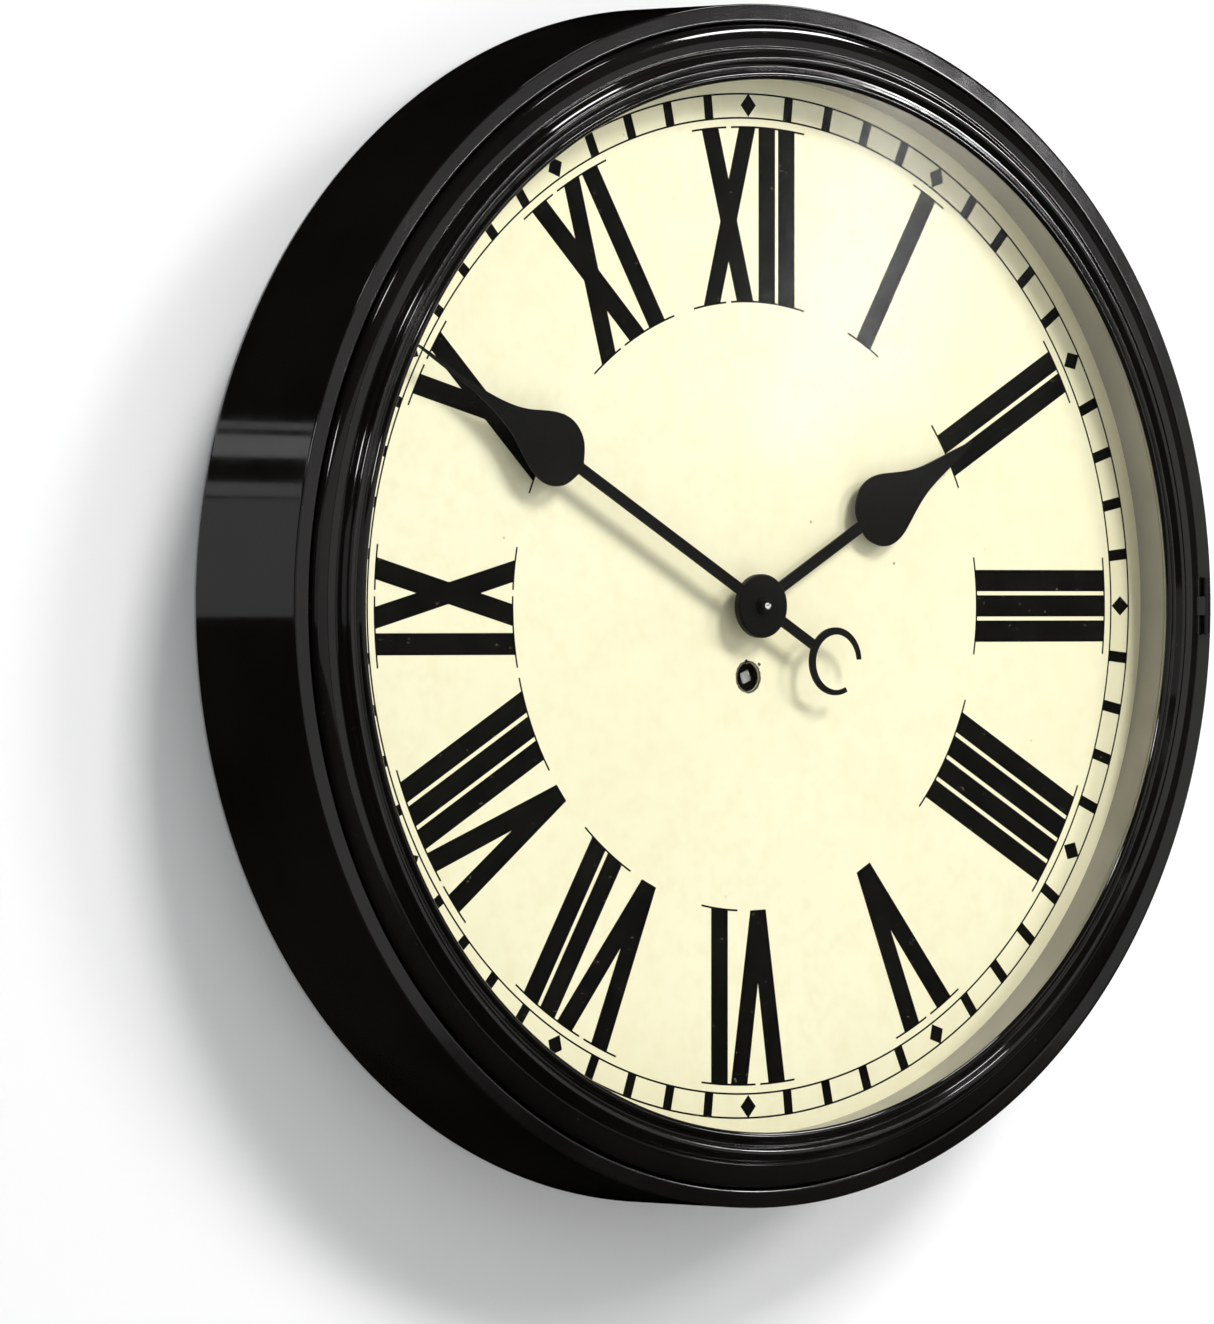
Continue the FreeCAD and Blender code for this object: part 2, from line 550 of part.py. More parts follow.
def mainspring():
    """Coiled strip: its outer end lies on the barrel wall and its inner end just clear of the core."""
    turns, per_turn, strip = 9, 36, 0.45
    inner, outer = 6.5, BARREL_R - BARREL_WALL - strip
    count = turns * per_turn
    inside = [polar(inner + (outer - inner) * k / count, 360.0 * k / per_turn, BARREL) for k in range(count + 1)]
    outside = [polar(inner + (outer - inner) * k / count + strip, 360.0 * k / per_turn, BARREL)
               for k in range(count + 1)]
    return plate(inside + outside[::-1], GREAT_WHEEL + 2.6, FRONT_INNER - 4.3)


def winding_arbor():
    """Arbor with the spring core inside the barrel and the winding square in front."""
    body = [disc(2.4, BACK_PLATE + FIT, GREAT_WHEEL, BARREL), disc(3.2, BACK_INNER + END_PLAY, GREAT_WHEEL, BARREL),
            disc(4.0, GREAT_WHEEL - 0.4, FRONT_INNER - END_PLAY, BARREL),
            disc(6.0, GREAT_WHEEL + 2.4, FRONT_INNER - 4.1, BARREL),
            disc(3.35, FRONT_INNER - 1.0, FRONT_PLATE, BARREL)]
    x, y = BARREL
    square = block(x - SQUARE_HALF, x + SQUARE_HALF, y - SQUARE_HALF, y + SQUARE_HALF, FRONT_PLATE - 1, DIAL_BACK - 0.8)
    return join(body[0], *body[1:], spun(square, 20.0, BARREL))


def ratchet_wheel():
    points = []
    for k in range(RATCHET_TEETH):
        face = CLICK_FACE + 360.0 * k / RATCHET_TEETH
        points.append(polar(RATCHET_R, face, BARREL))
        points.append(polar(RATCHET_R - RATCHET_DEPTH, face + 0.5, BARREL))
    x, y = BARREL
    square = block(x - SQUARE_HALF, x + SQUARE_HALF, y - SQUARE_HALF, y + SQUARE_HALF, 0, 80)
    return plate(points, RATCHET, RATCHET + 2.0).cut(spun(square, 20.0, BARREL))


def click():
    """Hooked pawl in the tooth space beside the held face."""
    root = RATCHET_R - RATCHET_DEPTH
    outline = [(root + 0.5, 1.6), (root + 1.35, 9.0), (RATCHET_R + 0.4, 15.0), (RATCHET_R + 0.7, 24.0),
               (RATCHET_R + 3.3, 41.0), (RATCHET_R + 5.0, 44.0), (RATCHET_R + 4.2, 30.0),
               (RATCHET_R + 2.4, 14.0), (RATCHET_R + 0.6, 3.0)]
    arm = plate([polar(r, CLICK_FACE + a, BARREL) for r, a in outline], RATCHET, RATCHET + 2.0)
    return join(arm, disc(2.7, RATCHET, RATCHET + 2.0, CLICK)).cut(disc(1.0 + RUN, 0, 80, CLICK))


def click_screw():
    return join(disc(1.0, FRONT_INNER, RATCHET + 2.2, CLICK), disc(2.2, RATCHET + 2.2, RATCHET + 3.2, CLICK))


# ---------------------------------------------------------------- going train
def leaves(count, module, t0, t1, at, first):
    return toothed(LEAF, count, module, t0, t1, at, first)


def second_arbor():
    first = meshed(0.0, GREAT_TEETH, BARREL, SECOND_LEAVES, SECOND)
    pinion = leaves(SECOND_LEAVES, GREAT_MODULE, GREAT_WHEEL - 0.6, GREAT_WHEEL + 2.2, SECOND, first)
    collet = (3.0, SECOND_WHEEL + WHEEL_THICK, GREAT_WHEEL - 0.6)
    return arbor(SECOND, ARBOR_R, PIVOT_R, pinion, collet)


def second_wheel():
    return crossed_wheel(SECOND_TEETH, SECOND_MODULE, SECOND_WHEEL, SECOND, ARBOR_R)


def centre_arbor():
    """Arbor that goes on through the front plate and carries the cannon pinion and the minute hand."""
    first = meshed(0.0, SECOND_TEETH, SECOND, CENTRE_LEAVES, CENTRE)
    pinion = leaves(CENTRE_LEAVES, SECOND_MODULE, SECOND_WHEEL - 0.8, SECOND_WHEEL + 2.0, CENTRE, first)
    collet = (3.0, CENTRE_WHEEL + WHEEL_THICK, SECOND_WHEEL - 0.8)
    return arbor(CENTRE, ARBOR_R, PIVOT_R, pinion, collet, (CENTRE_SHAFT_R, BOSS_FRONT + 2.8))


def centre_wheel():
    return crossed_wheel(CENTRE_TEETH, CENTRE_MODULE, CENTRE_WHEEL, CENTRE, ARBOR_R)


def third_arbor():
    first = meshed(0.0, CENTRE_TEETH, CENTRE, THIRD_LEAVES, THIRD)
    pinion = leaves(THIRD_LEAVES, CENTRE_MODULE, CENTRE_WHEEL - 0.7, CENTRE_WHEEL + 1.9, THIRD, first)
    collet = (2.4, THIRD_WHEEL - 1.6, THIRD_WHEEL)
    return arbor(THIRD, FINE_ARBOR_R, FINE_PIVOT_R, pinion, collet)


def third_wheel():
    return crossed_wheel(THIRD_TEETH, THIRD_MODULE, THIRD_WHEEL, THIRD, FINE_ARBOR_R)


def escape_arbor():
    first = meshed(0.0, THIRD_TEETH, THIRD, ESCAPE_LEAVES, ESCAPE)
    pinion = leaves(ESCAPE_LEAVES, THIRD_MODULE, THIRD_WHEEL - 0.8, THIRD_WHEEL + 2.0, ESCAPE, first)
    collet = (2.4, ESCAPE_WHEEL - 1.6, ESCAPE_WHEEL)
    return arbor(ESCAPE, FINE_ARBOR_R, FINE_PIVOT_R, pinion, collet)


def escape_wheel():
    """Recoil escape wheel with slanting pointed teeth."""
    points = []
    step = 360.0 / ESCAPE_TEETH
    root = ESCAPE_R - ESCAPE_DEPTH
    for k in range(ESCAPE_TEETH):
        tip = 90.0 + (k + 0.5) * step
        points += [polar(root, tip - 0.10 * step, ESCAPE), polar(ESCAPE_R, tip, ESCAPE),
                   polar(ESCAPE_R, tip + 0.06 * step, ESCAPE), polar(root, tip + 0.45 * step, ESCAPE)]
    t0, t1 = ESCAPE_WHEEL, ESCAPE_WHEEL + 1.0
    arm = block(0.0, root, ESCAPE[1] - 1.0, ESCAPE[1] + 1.0, 0, 80)
    windows = tube(root - 1.8, 3.8, t0 - 1, t1 + 1, ESCAPE).cut([spun(arm, 90.0 * k, ESCAPE) for k in range(4)])
    return plate(points, t0, t1).cut([windows, disc(FINE_ARBOR_R, t0 - 1, t1 + 1, ESCAPE)])


# ---------------------------------------------------------------- anchor and pendulum
def anchor_arbor():
    fine = disc(1.0, BACK_INNER + END_PLAY, FRONT_INNER - END_PLAY, ANCHOR)
    tail = disc(1.2, PENDULUM_AT + 2.5, BACK_INNER + 1.5, ANCHOR)
    collet = disc(2.4, ESCAPE_WHEEL - 2.6, ESCAPE_WHEEL - 0.8, ANCHOR)
    return join(fine, tail, collet, disc(FINE_PIVOT_R, FRONT_INNER - 2, FRONT_PLATE - FIT, ANCHOR))


def anchor():
    """Arched anchor over the escape wheel with two short pallets, held clear of the teeth."""
    t0, t1 = ESCAPE_WHEEL - 0.8, ESCAPE_WHEEL + 1.8
    inner = ESCAPE_R + PALLET_CLEAR
    arch = [polar(inner + 3.8, 90.0 + a, ESCAPE) for a in range(-52, 53, 4)]
    arch += [polar(inner, 90.0 + a, ESCAPE) for a in (52, 46)]
    arch += [polar(inner + 0.8, 90.0 + a, ESCAPE) for a in range(45, -46, -5)]
    arch += [polar(inner, 90.0 + a, ESCAPE) for a in (-46, -52)]
    return join(plate(arch, t0, t1), disc(3.6, t0, t1, ANCHOR)).cut(disc(1.0, 0, 80, ANCHOR))


def crutch():
    """Arm behind the back plate with a fork around the pendulum rod."""
    t1 = BACK_PLATE - 0.6
    foot = ANCHOR[1] - 32.0
    prong = ROD_R + 0.35
    hub = disc(2.6, PENDULUM_AT + 2.5, t1, ANCHOR)
    arm = block(-1.1, 1.1, foot, ANCHOR[1], t1 - 1.0, t1)
    bridge = block(-prong - 0.8, prong + 0.8, foot, foot + 3.0, t1 - 1.0, t1)
    prongs = [block(*sorted((side * prong, side * (prong + 0.8))), foot, foot + 3.0, PENDULUM_AT - 1.5, t1)
              for side in (-1, 1)]
    return join(hub, arm, bridge, *prongs).cut(disc(1.2, 0, 80, ANCHOR))


def suspension_cock():
    """Bracket on the back plate with the slit that the suspension spring hangs in."""
    y0, y1 = ANCHOR[1] + 3.4, ANCHOR[1] + 9.2
    foot = block(-9.0, 9.0, y0, y1, BACK_PLATE - 1.4, BACK_PLATE)
    nose = block(-3.0, 3.0, y0, y1, PENDULUM_AT - 2.5, BACK_PLATE)
    slit = block(-0.7, 0.7, y0 - 1, y1 - 1.5, PENDULUM_AT - 3.5, PENDULUM_AT + 2.3)
    pin = Part.makeCylinder(0.5, 8.0, Vector(-4, ANCHOR[1] + 6.3, PENDULUM_AT), Vector(1, 0, 0))
    return drilled(join(foot, nose), 1.3, COCK_SCREWS).cut([slit, pin])


def cock_screws():
    return group(screw(at, BACK_PLATE - 1.4, 1.2, 3.3, 2.2, 1.2, 1) for at in COCK_SCREWS)


def suspension_pin():
    return Part.makeCylinder(0.5, 7.2, Vector(-3.6, ANCHOR[1] + 6.3, PENDULUM_AT), Vector(1, 0, 0))


def suspension_spring():
    strip = block(-SPRING_HALF, SPRING_HALF, ANCHOR[1] - 9.5, ANCHOR[1] + 7.4, PENDULUM_AT - 2.0, PENDULUM_AT + 2.0)
    return strip.cut(Part.makeCylinder(0.85, 2.0, Vector(-1, ANCHOR[1] + 6.3, PENDULUM_AT), Vector(1, 0, 0)))


def pendulum_rod():
    """Round rod with a slit block at the top that holds the spring."""
    y = ANCHOR[1]
    top = block(-2.2, 2.2, y - 14.0, y - 7.0, PENDULUM_AT - 2.2, PENDULUM_AT + 2.2)
    slit = block(-SPRING_HALF, SPRING_HALF, y - 9.5, y - 6.0, PENDULUM_AT - 3, PENDULUM_AT + 3)
    rod = upright(ROD_R, 0.0, PENDULUM_AT, y - PENDULUM_LENGTH - BOB_R - 10.0, y - 13.0)
    return join(top.cut(slit), rod)


def pendulum_bob():
    """Lens-shaped bob, free to slide on the rod and resting on the rating nut."""
    y = ANCHOR[1] - PENDULUM_LENGTH
    ball = (BOB_R**2 + BOB_HALF_THICK**2) / (2 * BOB_HALF_THICK)
    caps = [Part.makeSphere(ball, Vector(0, y, PENDULUM_AT + side * (ball - BOB_HALF_THICK))) for side in (-1, 1)]
    lens = caps[0].common(caps[1]).common(disc(BOB_R - 0.6, 0, 40, (0, y)))
    return lens.cut(upright(ROD_R + FIT, 0.0, PENDULUM_AT, y - 40, y + 40))


def rating_nut():
    y = ANCHOR[1] - PENDULUM_LENGTH - BOB_R + 0.6
    nut = upright(3.6, 0.0, PENDULUM_AT, y - 3.0, y)
    return nut.cut(upright(ROD_R, 0.0, PENDULUM_AT, y - 10, y + 10))


# ---------------------------------------------------------------- motion work
def cannon_pinion():
    pinion = leaves(CANNON_TEETH, MOTION_MODULE, CANNON, CANNON + 2.4, CENTRE, 0.0)
    pipe = disc(CANNON_R, CANNON, BOSS_FRONT, CENTRE)
    return join(pinion, pipe).cut(disc(CENTRE_SHAFT_R, 0, 80, CENTRE))


def minute_wheel():
    """Wheel and pinion in one piece, turning on a post beside the centre."""
    first = meshed(0.0, CANNON_TEETH, CENTRE, MINUTE_TEETH, MINUTE_POST)
    wheel = toothed(WHEEL_TOOTH, MINUTE_TEETH, MOTION_MODULE, CANNON + 0.4, CANNON + 1.6, MINUTE_POST, first)
    windows = group(disc(2.3, 0, 80, polar(6.6, 60.0 * k, MINUTE_POST)) for k in range(6))
    pinion = leaves(MINUTE_LEAVES, MOTION_MODULE, CANNON + 1.6, CANNON + 5.0, MINUTE_POST, 0.0)
    hub = disc(3.0, FRONT_PLATE + 0.2, CANNON + 0.4, MINUTE_POST)
    return join(wheel.cut(windows), pinion, hub).cut(disc(1.5 + RUN, 0, 80, MINUTE_POST))


def minute_post():
    return join(disc(1.5, FRONT_INNER, CANNON + 5.2, MINUTE_POST),
                disc(2.6, CANNON + 5.2, CANNON + 6.2, MINUTE_POST))


def hour_wheel():
    """Wheel on a pipe that turns on the cannon and carries the hour hand."""
    first = meshed(0.0, MINUTE_LEAVES, MINUTE_POST, HOUR_TEETH, CENTRE)
    wheel = toothed(WHEEL_TOOTH, HOUR_TEETH, MOTION_MODULE, CANNON + 3.2, CANNON + 4.4, CENTRE, first)
    windows = group(disc(2.6, 0, 80, polar(7.4, 60.0 * k)) for k in range(6))
    pipe = disc(HOUR_PIPE_R, CANNON + 2.6, HOUR_HAND + HAND_THICK + 0.7, CENTRE)
    return join(wheel.cut(windows), pipe).cut(disc(CANNON_R + RUN, 0, 80, CENTRE))


# ---------------------------------------------------------------- hands
def spade(profile, t):
    """Blade pointing at twelve: straight stem, then a smooth spade drawn through the profile points."""
    profile = [(x, y * REVEAL_R / DRAWN_REACH) for x, y in profile]
    start, tip = profile[0], profile[-1]
    sides = []
    for side in (1, -1):
        curve = Part.BSplineCurve()
        curve.interpolate([Vector(side * x, y, t) for x, y in profile])
        sides.append(curve.toShape())
    edges = [Part.makeLine(Vector(-start[0], 0, t), Vector(start[0], 0, t)),
             Part.makeLine(Vector(start[0], 0, t), Vector(start[0], start[1], t)), sides[0],
             Part.makeLine(Vector(tip[0], tip[1], t), Vector(-tip[0], tip[1], t)), sides[1],
             Part.makeLine(Vector(-start[0], start[1], t), Vector(-start[0], 0, t))]
    wire = Part.Wire(Part.__sortEdges__(edges))
    return Part.Face(wire).extrude(Vector(0, 0, HAND_THICK))


def minute_hand():
    """Spade hand with an open crescent on its tail and a thick round boss."""
    t0, t1 = MINUTE_HAND, MINUTE_HAND + HAND_THICK
    tail = block(-2.2, 2.2, -CRESCENT_AT + CRESCENT_R - 1.4, 0.0, t0, t1)
    moon = disc(CRESCENT_R, t0, t1, (0, -CRESCENT_AT))
    moon = moon.cut(disc(CRESCENT_BORE, t0 - 1, t1 + 1, (0, -CRESCENT_AT - CRESCENT_SHIFT)))
    gap = [(0.0, -CRESCENT_AT), polar(40.0, -90.0 - CRESCENT_OPEN, (0, -CRESCENT_AT)),
           polar(40.0, -90.0 + CRESCENT_OPEN, (0, -CRESCENT_AT))]
    moon = moon.cut(plate(gap, t0 - 1, t1 + 1))
    boss = disc(BOSS_R, BOSS_BACK, BOSS_FRONT, CENTRE)
    boss = boss.makeFillet(0.8, [e for e in boss.Edges if abs(e.CenterOfMass.z - BOSS_FRONT) < 0.01])
    hand = join(spade(MINUTE_SPADE, t0), tail, moon, boss).cut(disc(CANNON_R, 0, 80, CENTRE))
    return spun(hand, -MINUTE_ANGLE)


def hour_hand():
    t0 = HOUR_HAND
    boss = disc(HOUR_BOSS_R, t0 - 1.0, t0 + HAND_THICK + 0.4, CENTRE)
    hand = join(spade(HOUR_SPADE, t0), boss).cut(disc(HOUR_PIPE_R, 0, 80, CENTRE))
    return spun(hand, -HOUR_ANGLE)


def hand_washer():
    return tube(3.9, CENTRE_SHAFT_R, BOSS_FRONT, BOSS_FRONT + 0.6, CENTRE)


def hand_nut():
    nut = tube(2.9, CENTRE_SHAFT_R, BOSS_FRONT + 0.6, BOSS_FRONT + 2.4, CENTRE)
    return nut.makeFillet(0.4, [e for e in nut.Edges if abs(e.BoundBox.ZMin - BOSS_FRONT - 2.4) < 0.01
                                and e.BoundBox.XLength > 5])


NODES = [case_drum, back_cover, back_cover_screws, hanger_plate, hanger_rivets, dial_brackets, dial,
         reveal_ring, dial_screws, bezel_ring, bezel_glass, glass_retainer, hinge_case_leaf,
         hinge_bezel_leaf, hinge_pin, catch_stud, catch_clip, back_plate, front_plate, plate_pillars,
         plate_screws, dial_feet, dial_foot_nuts, barrel, barrel_cap, mainspring, winding_arbor,
         ratchet_wheel, click, click_screw, second_arbor, second_wheel, centre_arbor, centre_wheel,
         third_arbor, third_wheel, escape_arbor, escape_wheel, anchor_arbor, anchor, crutch,
         suspension_cock, cock_screws, suspension_pin, suspension_spring, pendulum_rod, pendulum_bob,
         rating_nut, cannon_pinion, minute_wheel, minute_post, hour_wheel, minute_hand, hour_hand,
         hand_washer, hand_nut]


def export(make):
    shape = make()
    shape.rotate(Vector(0, 0, 0), Vector(1, 0, 0), 90)
    shape.exportStep("parts/" + make.__name__ + ".step")


os.makedirs("parts", exist_ok=True)
for make in NODES:
    export(make)
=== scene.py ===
import math
import random

import bmesh
import bpy
from mathutils import Matrix, Vector


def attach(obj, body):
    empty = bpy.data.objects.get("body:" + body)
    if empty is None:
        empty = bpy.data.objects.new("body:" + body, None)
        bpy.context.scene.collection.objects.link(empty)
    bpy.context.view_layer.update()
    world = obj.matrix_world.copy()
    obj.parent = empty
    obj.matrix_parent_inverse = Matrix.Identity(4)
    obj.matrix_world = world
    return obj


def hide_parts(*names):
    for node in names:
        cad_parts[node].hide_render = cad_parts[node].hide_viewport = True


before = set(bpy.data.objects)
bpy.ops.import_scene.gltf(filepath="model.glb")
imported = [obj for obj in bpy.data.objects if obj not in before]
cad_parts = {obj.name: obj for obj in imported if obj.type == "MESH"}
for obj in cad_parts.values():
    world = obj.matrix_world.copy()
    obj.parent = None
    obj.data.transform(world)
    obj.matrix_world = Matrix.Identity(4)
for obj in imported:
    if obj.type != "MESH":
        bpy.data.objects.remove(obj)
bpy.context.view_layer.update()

MM = 0.001


# ------------------------------------------------------------------------------------------- drum
# The case is one spun steel drum: a flat flange and a stepped shelf in front, a plain wall and a rim
# that stands against the wall. It is stove-finished in gloss black lacquer, a little wavy and dusty.
DRUM_R = 250.0
DRUM_SHEET = 1.6
FLANGE_FACE = 65.0
FLANGE_INNER = 242.5
SHELF_FACE = 60.0
SHELF_INNER = 234.0
RIM_INNER = 240.0
SEAT_INNER = 228.0
COVER_SINK = 1.2
DRUM_EDGE = 0.9
DRUM_PROFILE = [
    (RIM_INNER, 0.0),
    (DRUM_R, 0.0),
    (DRUM_R, FLANGE_FACE),
    (FLANGE_INNER, FLANGE_FACE),
    (FLANGE_INNER, SHELF_FACE),
    (SHELF_INNER, SHELF_FACE),
    (SHELF_INNER, SHELF_FACE - DRUM_SHEET),
    (FLANGE_INNER + DRUM_SHEET, SHELF_FACE - DRUM_SHEET),
    (FLANGE_INNER + DRUM_SHEET, FLANGE_FACE - DRUM_SHEET),
    (DRUM_R - DRUM_SHEET, FLANGE_FACE - DRUM_SHEET),
    (DRUM_R - DRUM_SHEET, DRUM_SHEET),
    (RIM_INNER + DRUM_SHEET, DRUM_SHEET),
    (RIM_INNER + DRUM_SHEET, COVER_SINK + DRUM_SHEET),
    (SEAT_INNER, COVER_SINK + DRUM_SHEET),
    (SEAT_INNER, COVER_SINK),
    (RIM_INNER, COVER_SINK),
]
CATCH_HOLE = 2.5
CATCH_ACROSS = -238.7
TURN_STEPS = 360


def supported(profile, inset):
    """The section with two more points near the ends of each long side, so that its flats shade flat."""
    points = []
    for (r0, t0), (r1, t1) in zip(profile, profile[1:] + profile[:1]):
        points.append((r0, t0))
        length = math.hypot(r1 - r0, t1 - t0)
        if length > 3.2 * inset:
            for share in (inset / length, 1 - inset / length):
                points.append((r0 + (r1 - r0) * share, t0 + (t1 - t0) * share))
    return points


def turned(profile, edge=0.0, steps=TURN_STEPS, inset=0.4):
    """A ring about the clock's axis from a closed section of (radius, depth) points, in millimetres."""
    bm = bmesh.new()
    corners = [bm.verts.new((r * MM, -t * MM, 0.0)) for r, t in supported(profile, edge * 1.35 or inset)]
    sides = [bm.edges.new(pair) for pair in zip(corners, corners[1:] + corners[:1])]
    bmesh.ops.spin(bm, geom=corners + sides, cent=(0, 0, 0), axis=(0, 1, 0), angle=math.tau,
                   steps=steps, use_merge=True)
    bmesh.ops.remove_doubles(bm, verts=bm.verts, dist=1e-6)
    bmesh.ops.recalc_face_normals(bm, faces=bm.faces)
    if edge:
        sharp = [e for e in bm.edges if e.is_manifold and e.calc_face_angle() > 0.5]
        bmesh.ops.bevel(bm, geom=sharp, offset=edge * MM, offset_type="OFFSET", segments=3,
                        profile=0.5, affect="EDGES", clamp_overlap=True, material=-1)
    return bm


def piece(name, bm, finish, body, replaced=(), crease=35.0):
    """Makes the finished object, shaded smooth up to the crease angle, and puts it on its body."""
    mesh = bpy.data.meshes.new(name)
    bm.to_mesh(mesh)
    bm.free()
    mesh.materials.append(finish)
    mesh.shade_smooth()
    mesh.set_sharp_from_angle(angle=math.radians(crease))
    obj = bpy.data.objects.new(name, mesh)
    bpy.context.collection.objects.link(obj)
    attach(obj, body)
    if replaced:
        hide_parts(*replaced)
    return obj


class Finish:
    """A material in the making: a Principled shader and the object's own coordinates."""

    def __init__(self, name, metallic=0.0, coat=0.0, coat_roughness=0.03):
        self.material = bpy.data.materials.new(name)
        self.material.use_nodes = True
        self.tree = self.material.node_tree
        self.shader = self.tree.nodes["Principled BSDF"]
        self.shader.inputs["Metallic"].default_value = metallic
        self.shader.inputs["Coat Weight"].default_value = coat
        self.shader.inputs["Coat Roughness"].default_value = coat_roughness
        self.place = self.add("ShaderNodeTexCoord").outputs["Object"]

    def add(self, kind, **values):
        """A node. Values set its inputs, or its own settings; an output socket is linked."""
        node = self.tree.nodes.new(kind)
        for key, value in values.items():
            if hasattr(node, key):
                setattr(node, key, value)
                continue
            socket = node.inputs[int(key[1:]) if key[0] == "_" else key.replace("_", " ")]
            self.feed(socket, value)
        return node

    def feed(self, socket, value):
        if isinstance(value, bpy.types.NodeSocket):
            self.tree.links.new(value, socket)
        else:
            socket.default_value = value

    def noise(self, scale, detail=4.0, rough=0.55, stretch=None):
        """Noise over the surface. Scale is in features per metre."""
        place = self.place
        if stretch:
            place = self.add("ShaderNodeMapping", Vector=place, Scale=stretch).outputs[0]
        return self.add("ShaderNodeTexNoise", Vector=place, Scale=scale, Detail=detail,
                        Roughness=rough).outputs["Fac"]

    def span(self, value, low, high, out_low=0.0, out_high=1.0):
        """Value from low to high stretched over out_low to out_high."""
        node = self.add("ShaderNodeMapRange", Value=value)
        node.inputs["From Min"].default_value = low
        node.inputs["From Max"].default_value = high
        node.inputs["To Min"].default_value = out_low
        node.inputs["To Max"].default_value = out_high
        return node.outputs["Result"]

    def mix(self, share, first, second):
        """A colour between two others."""
        node = self.add("ShaderNodeMix", data_type="RGBA")
        self.feed(node.inputs[0], share)
        self.feed(node.inputs[6], first if isinstance(first, bpy.types.NodeSocket) else (*first, 1))
        self.feed(node.inputs[7], second if isinstance(second, bpy.types.NodeSocket) else (*second, 1))
        return node.outputs[2]

    def maths(self, first, second, operation="ADD"):
        """Two values added, or put through another operation."""
        node = self.add("ShaderNodeMath", operation=operation)
        self.feed(node.inputs[0], first)
        self.feed(node.inputs[1], second)
        return node.outputs[0]

    def bump(self, height, strength, depth_mm):
        """Relief from a height, on top of any that is there."""
        node = self.add("ShaderNodeBump", Strength=strength, Distance=depth_mm * MM, Height=height)
        normal = self.shader.inputs["Normal"]
        if normal.is_linked:
            self.tree.links.new(normal.links[0].from_socket, node.inputs["Normal"])
        self.tree.links.new(node.outputs[0], normal)

    def colour(self, value):
        self.feed(self.shader.inputs["Base Color"], value)

    def roughness(self, value):
        self.feed(self.shader.inputs["Roughness"], value)


def black_lacquer():
    """Gloss stove lacquer: warm black, slight orange peel, rubbed patches, dust and hair scratches."""
    f = Finish("black_lacquer", coat=0.30, coat_roughness=0.04)
    cloud = f.span(f.noise(9.0, 5.0), 0.35, 0.7)
    base = f.mix(cloud, (0.0040, 0.0036, 0.0030), (0.0085, 0.0075, 0.0065))
    dust = f.span(f.noise(620.0, 2.0), 0.73, 0.80)
    f.colour(f.mix(dust, base, (0.030, 0.028, 0.025)))
    rubbed = f.span(f.noise(26.0, 6.0, 0.65), 0.4, 0.75, 0.05, 0.12)
    hairs = f.span(f.noise(190.0, 3.0, 0.6, (1.0, 1.0, 0.06)), 0.62, 0.76, 0.0, 0.04)
    f.roughness(f.maths(rubbed, hairs))
    f.bump(f.noise(420.0, 2.0), 0.06, 0.03)
    f.bump(f.noise(30.0, 2.0), 0.05, 0.12)
    return f.material


def bored(bm, across, up, radius, t_low, t_high):
    """Bores a round hole, square to the dial, from one depth to another."""
    drill = bmesh.new()
    bmesh.ops.create_cone(drill, cap_ends=True, segments=48, radius1=radius * MM, radius2=radius * MM,
                          depth=(t_high - t_low) * MM)
    upright = Matrix.Rotation(math.radians(90), 3, "X")
    bmesh.ops.rotate(drill, verts=drill.verts, cent=(0, 0, 0), matrix=upright)
    bmesh.ops.translate(drill, verts=drill.verts, vec=(across * MM, -(t_low + t_high) / 2 * MM, up * MM))
    blank, bit = bpy.data.meshes.new("blank"), bpy.data.meshes.new("bit")
    bm.to_mesh(blank)
    drill.to_mesh(bit)
    bm.free()
    drill.free()
    work, tool = bpy.data.objects.new("work", blank), bpy.data.objects.new("tool", bit)
    for obj in (work, tool):
        bpy.context.collection.objects.link(obj)
    cut = work.modifiers.new("bore", "BOOLEAN")
    cut.object = tool
    cut.operation = "DIFFERENCE"
    cut.solver = "EXACT"
    bored_bm = bmesh.new()
    bored_bm.from_object(work, bpy.context.evaluated_depsgraph_get())
    for obj, mesh in ((work, blank), (tool, bit)):
        bpy.data.objects.remove(obj)
        bpy.data.meshes.remove(mesh)
    return bored_bm


LACQUER = black_lacquer()
drum = bored(turned(DRUM_PROFILE, DRUM_EDGE), CATCH_ACROSS, 0.0, CATCH_HOLE,
             SHELF_FACE - 3.0, SHELF_FACE + 1.5)
piece("drum", drum, LACQUER, "case", ["case_drum"])


# ------------------------------------------------------------------------------------- small steel
# Screws, rivets, brackets and the hanger are plain turned or pressed steel: the small screws are
# bright, the structural pieces dull and oily with a few darker spots.
def steel(name, light, dark, rough, brushed=(1.0, 1.0, 1.0)):
    """Bare steel with fine working marks and faint stains."""
    f = Finish(name, metallic=1.0)
    stain = f.span(f.noise(70.0, 6.0, 0.65), 0.42, 0.72)
    f.colour(f.mix(stain, light, dark))
    f.roughness(f.span(f.noise(240.0, 4.0, 0.6, brushed), 0.3, 0.7, rough, rough + 0.16))
    f.bump(f.noise(1500.0, 2.0, 0.5, brushed), 0.12, 0.02)
    return f.material


def paint(finish, *nodes):
    """Gives CAD pieces their finish."""
    for node in nodes:
        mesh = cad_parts[node].data
        mesh.materials.clear()
        mesh.materials.append(finish)


BRIGHT_STEEL = steel("bright_steel", (0.62, 0.61, 0.59), (0.40, 0.38, 0.35), 0.22)
DULL_STEEL = steel("dull_steel", (0.24, 0.235, 0.23), (0.13, 0.115, 0.10), 0.38)
paint(BRIGHT_STEEL, "back_cover_screws", "dial_screws", "dial_feet", "dial_foot_nuts",
      "plate_screws", "cock_screws", "catch_stud")
paint(DULL_STEEL, "hanger_plate", "hanger_rivets", "dial_brackets", "hinge_pin", "anchor")


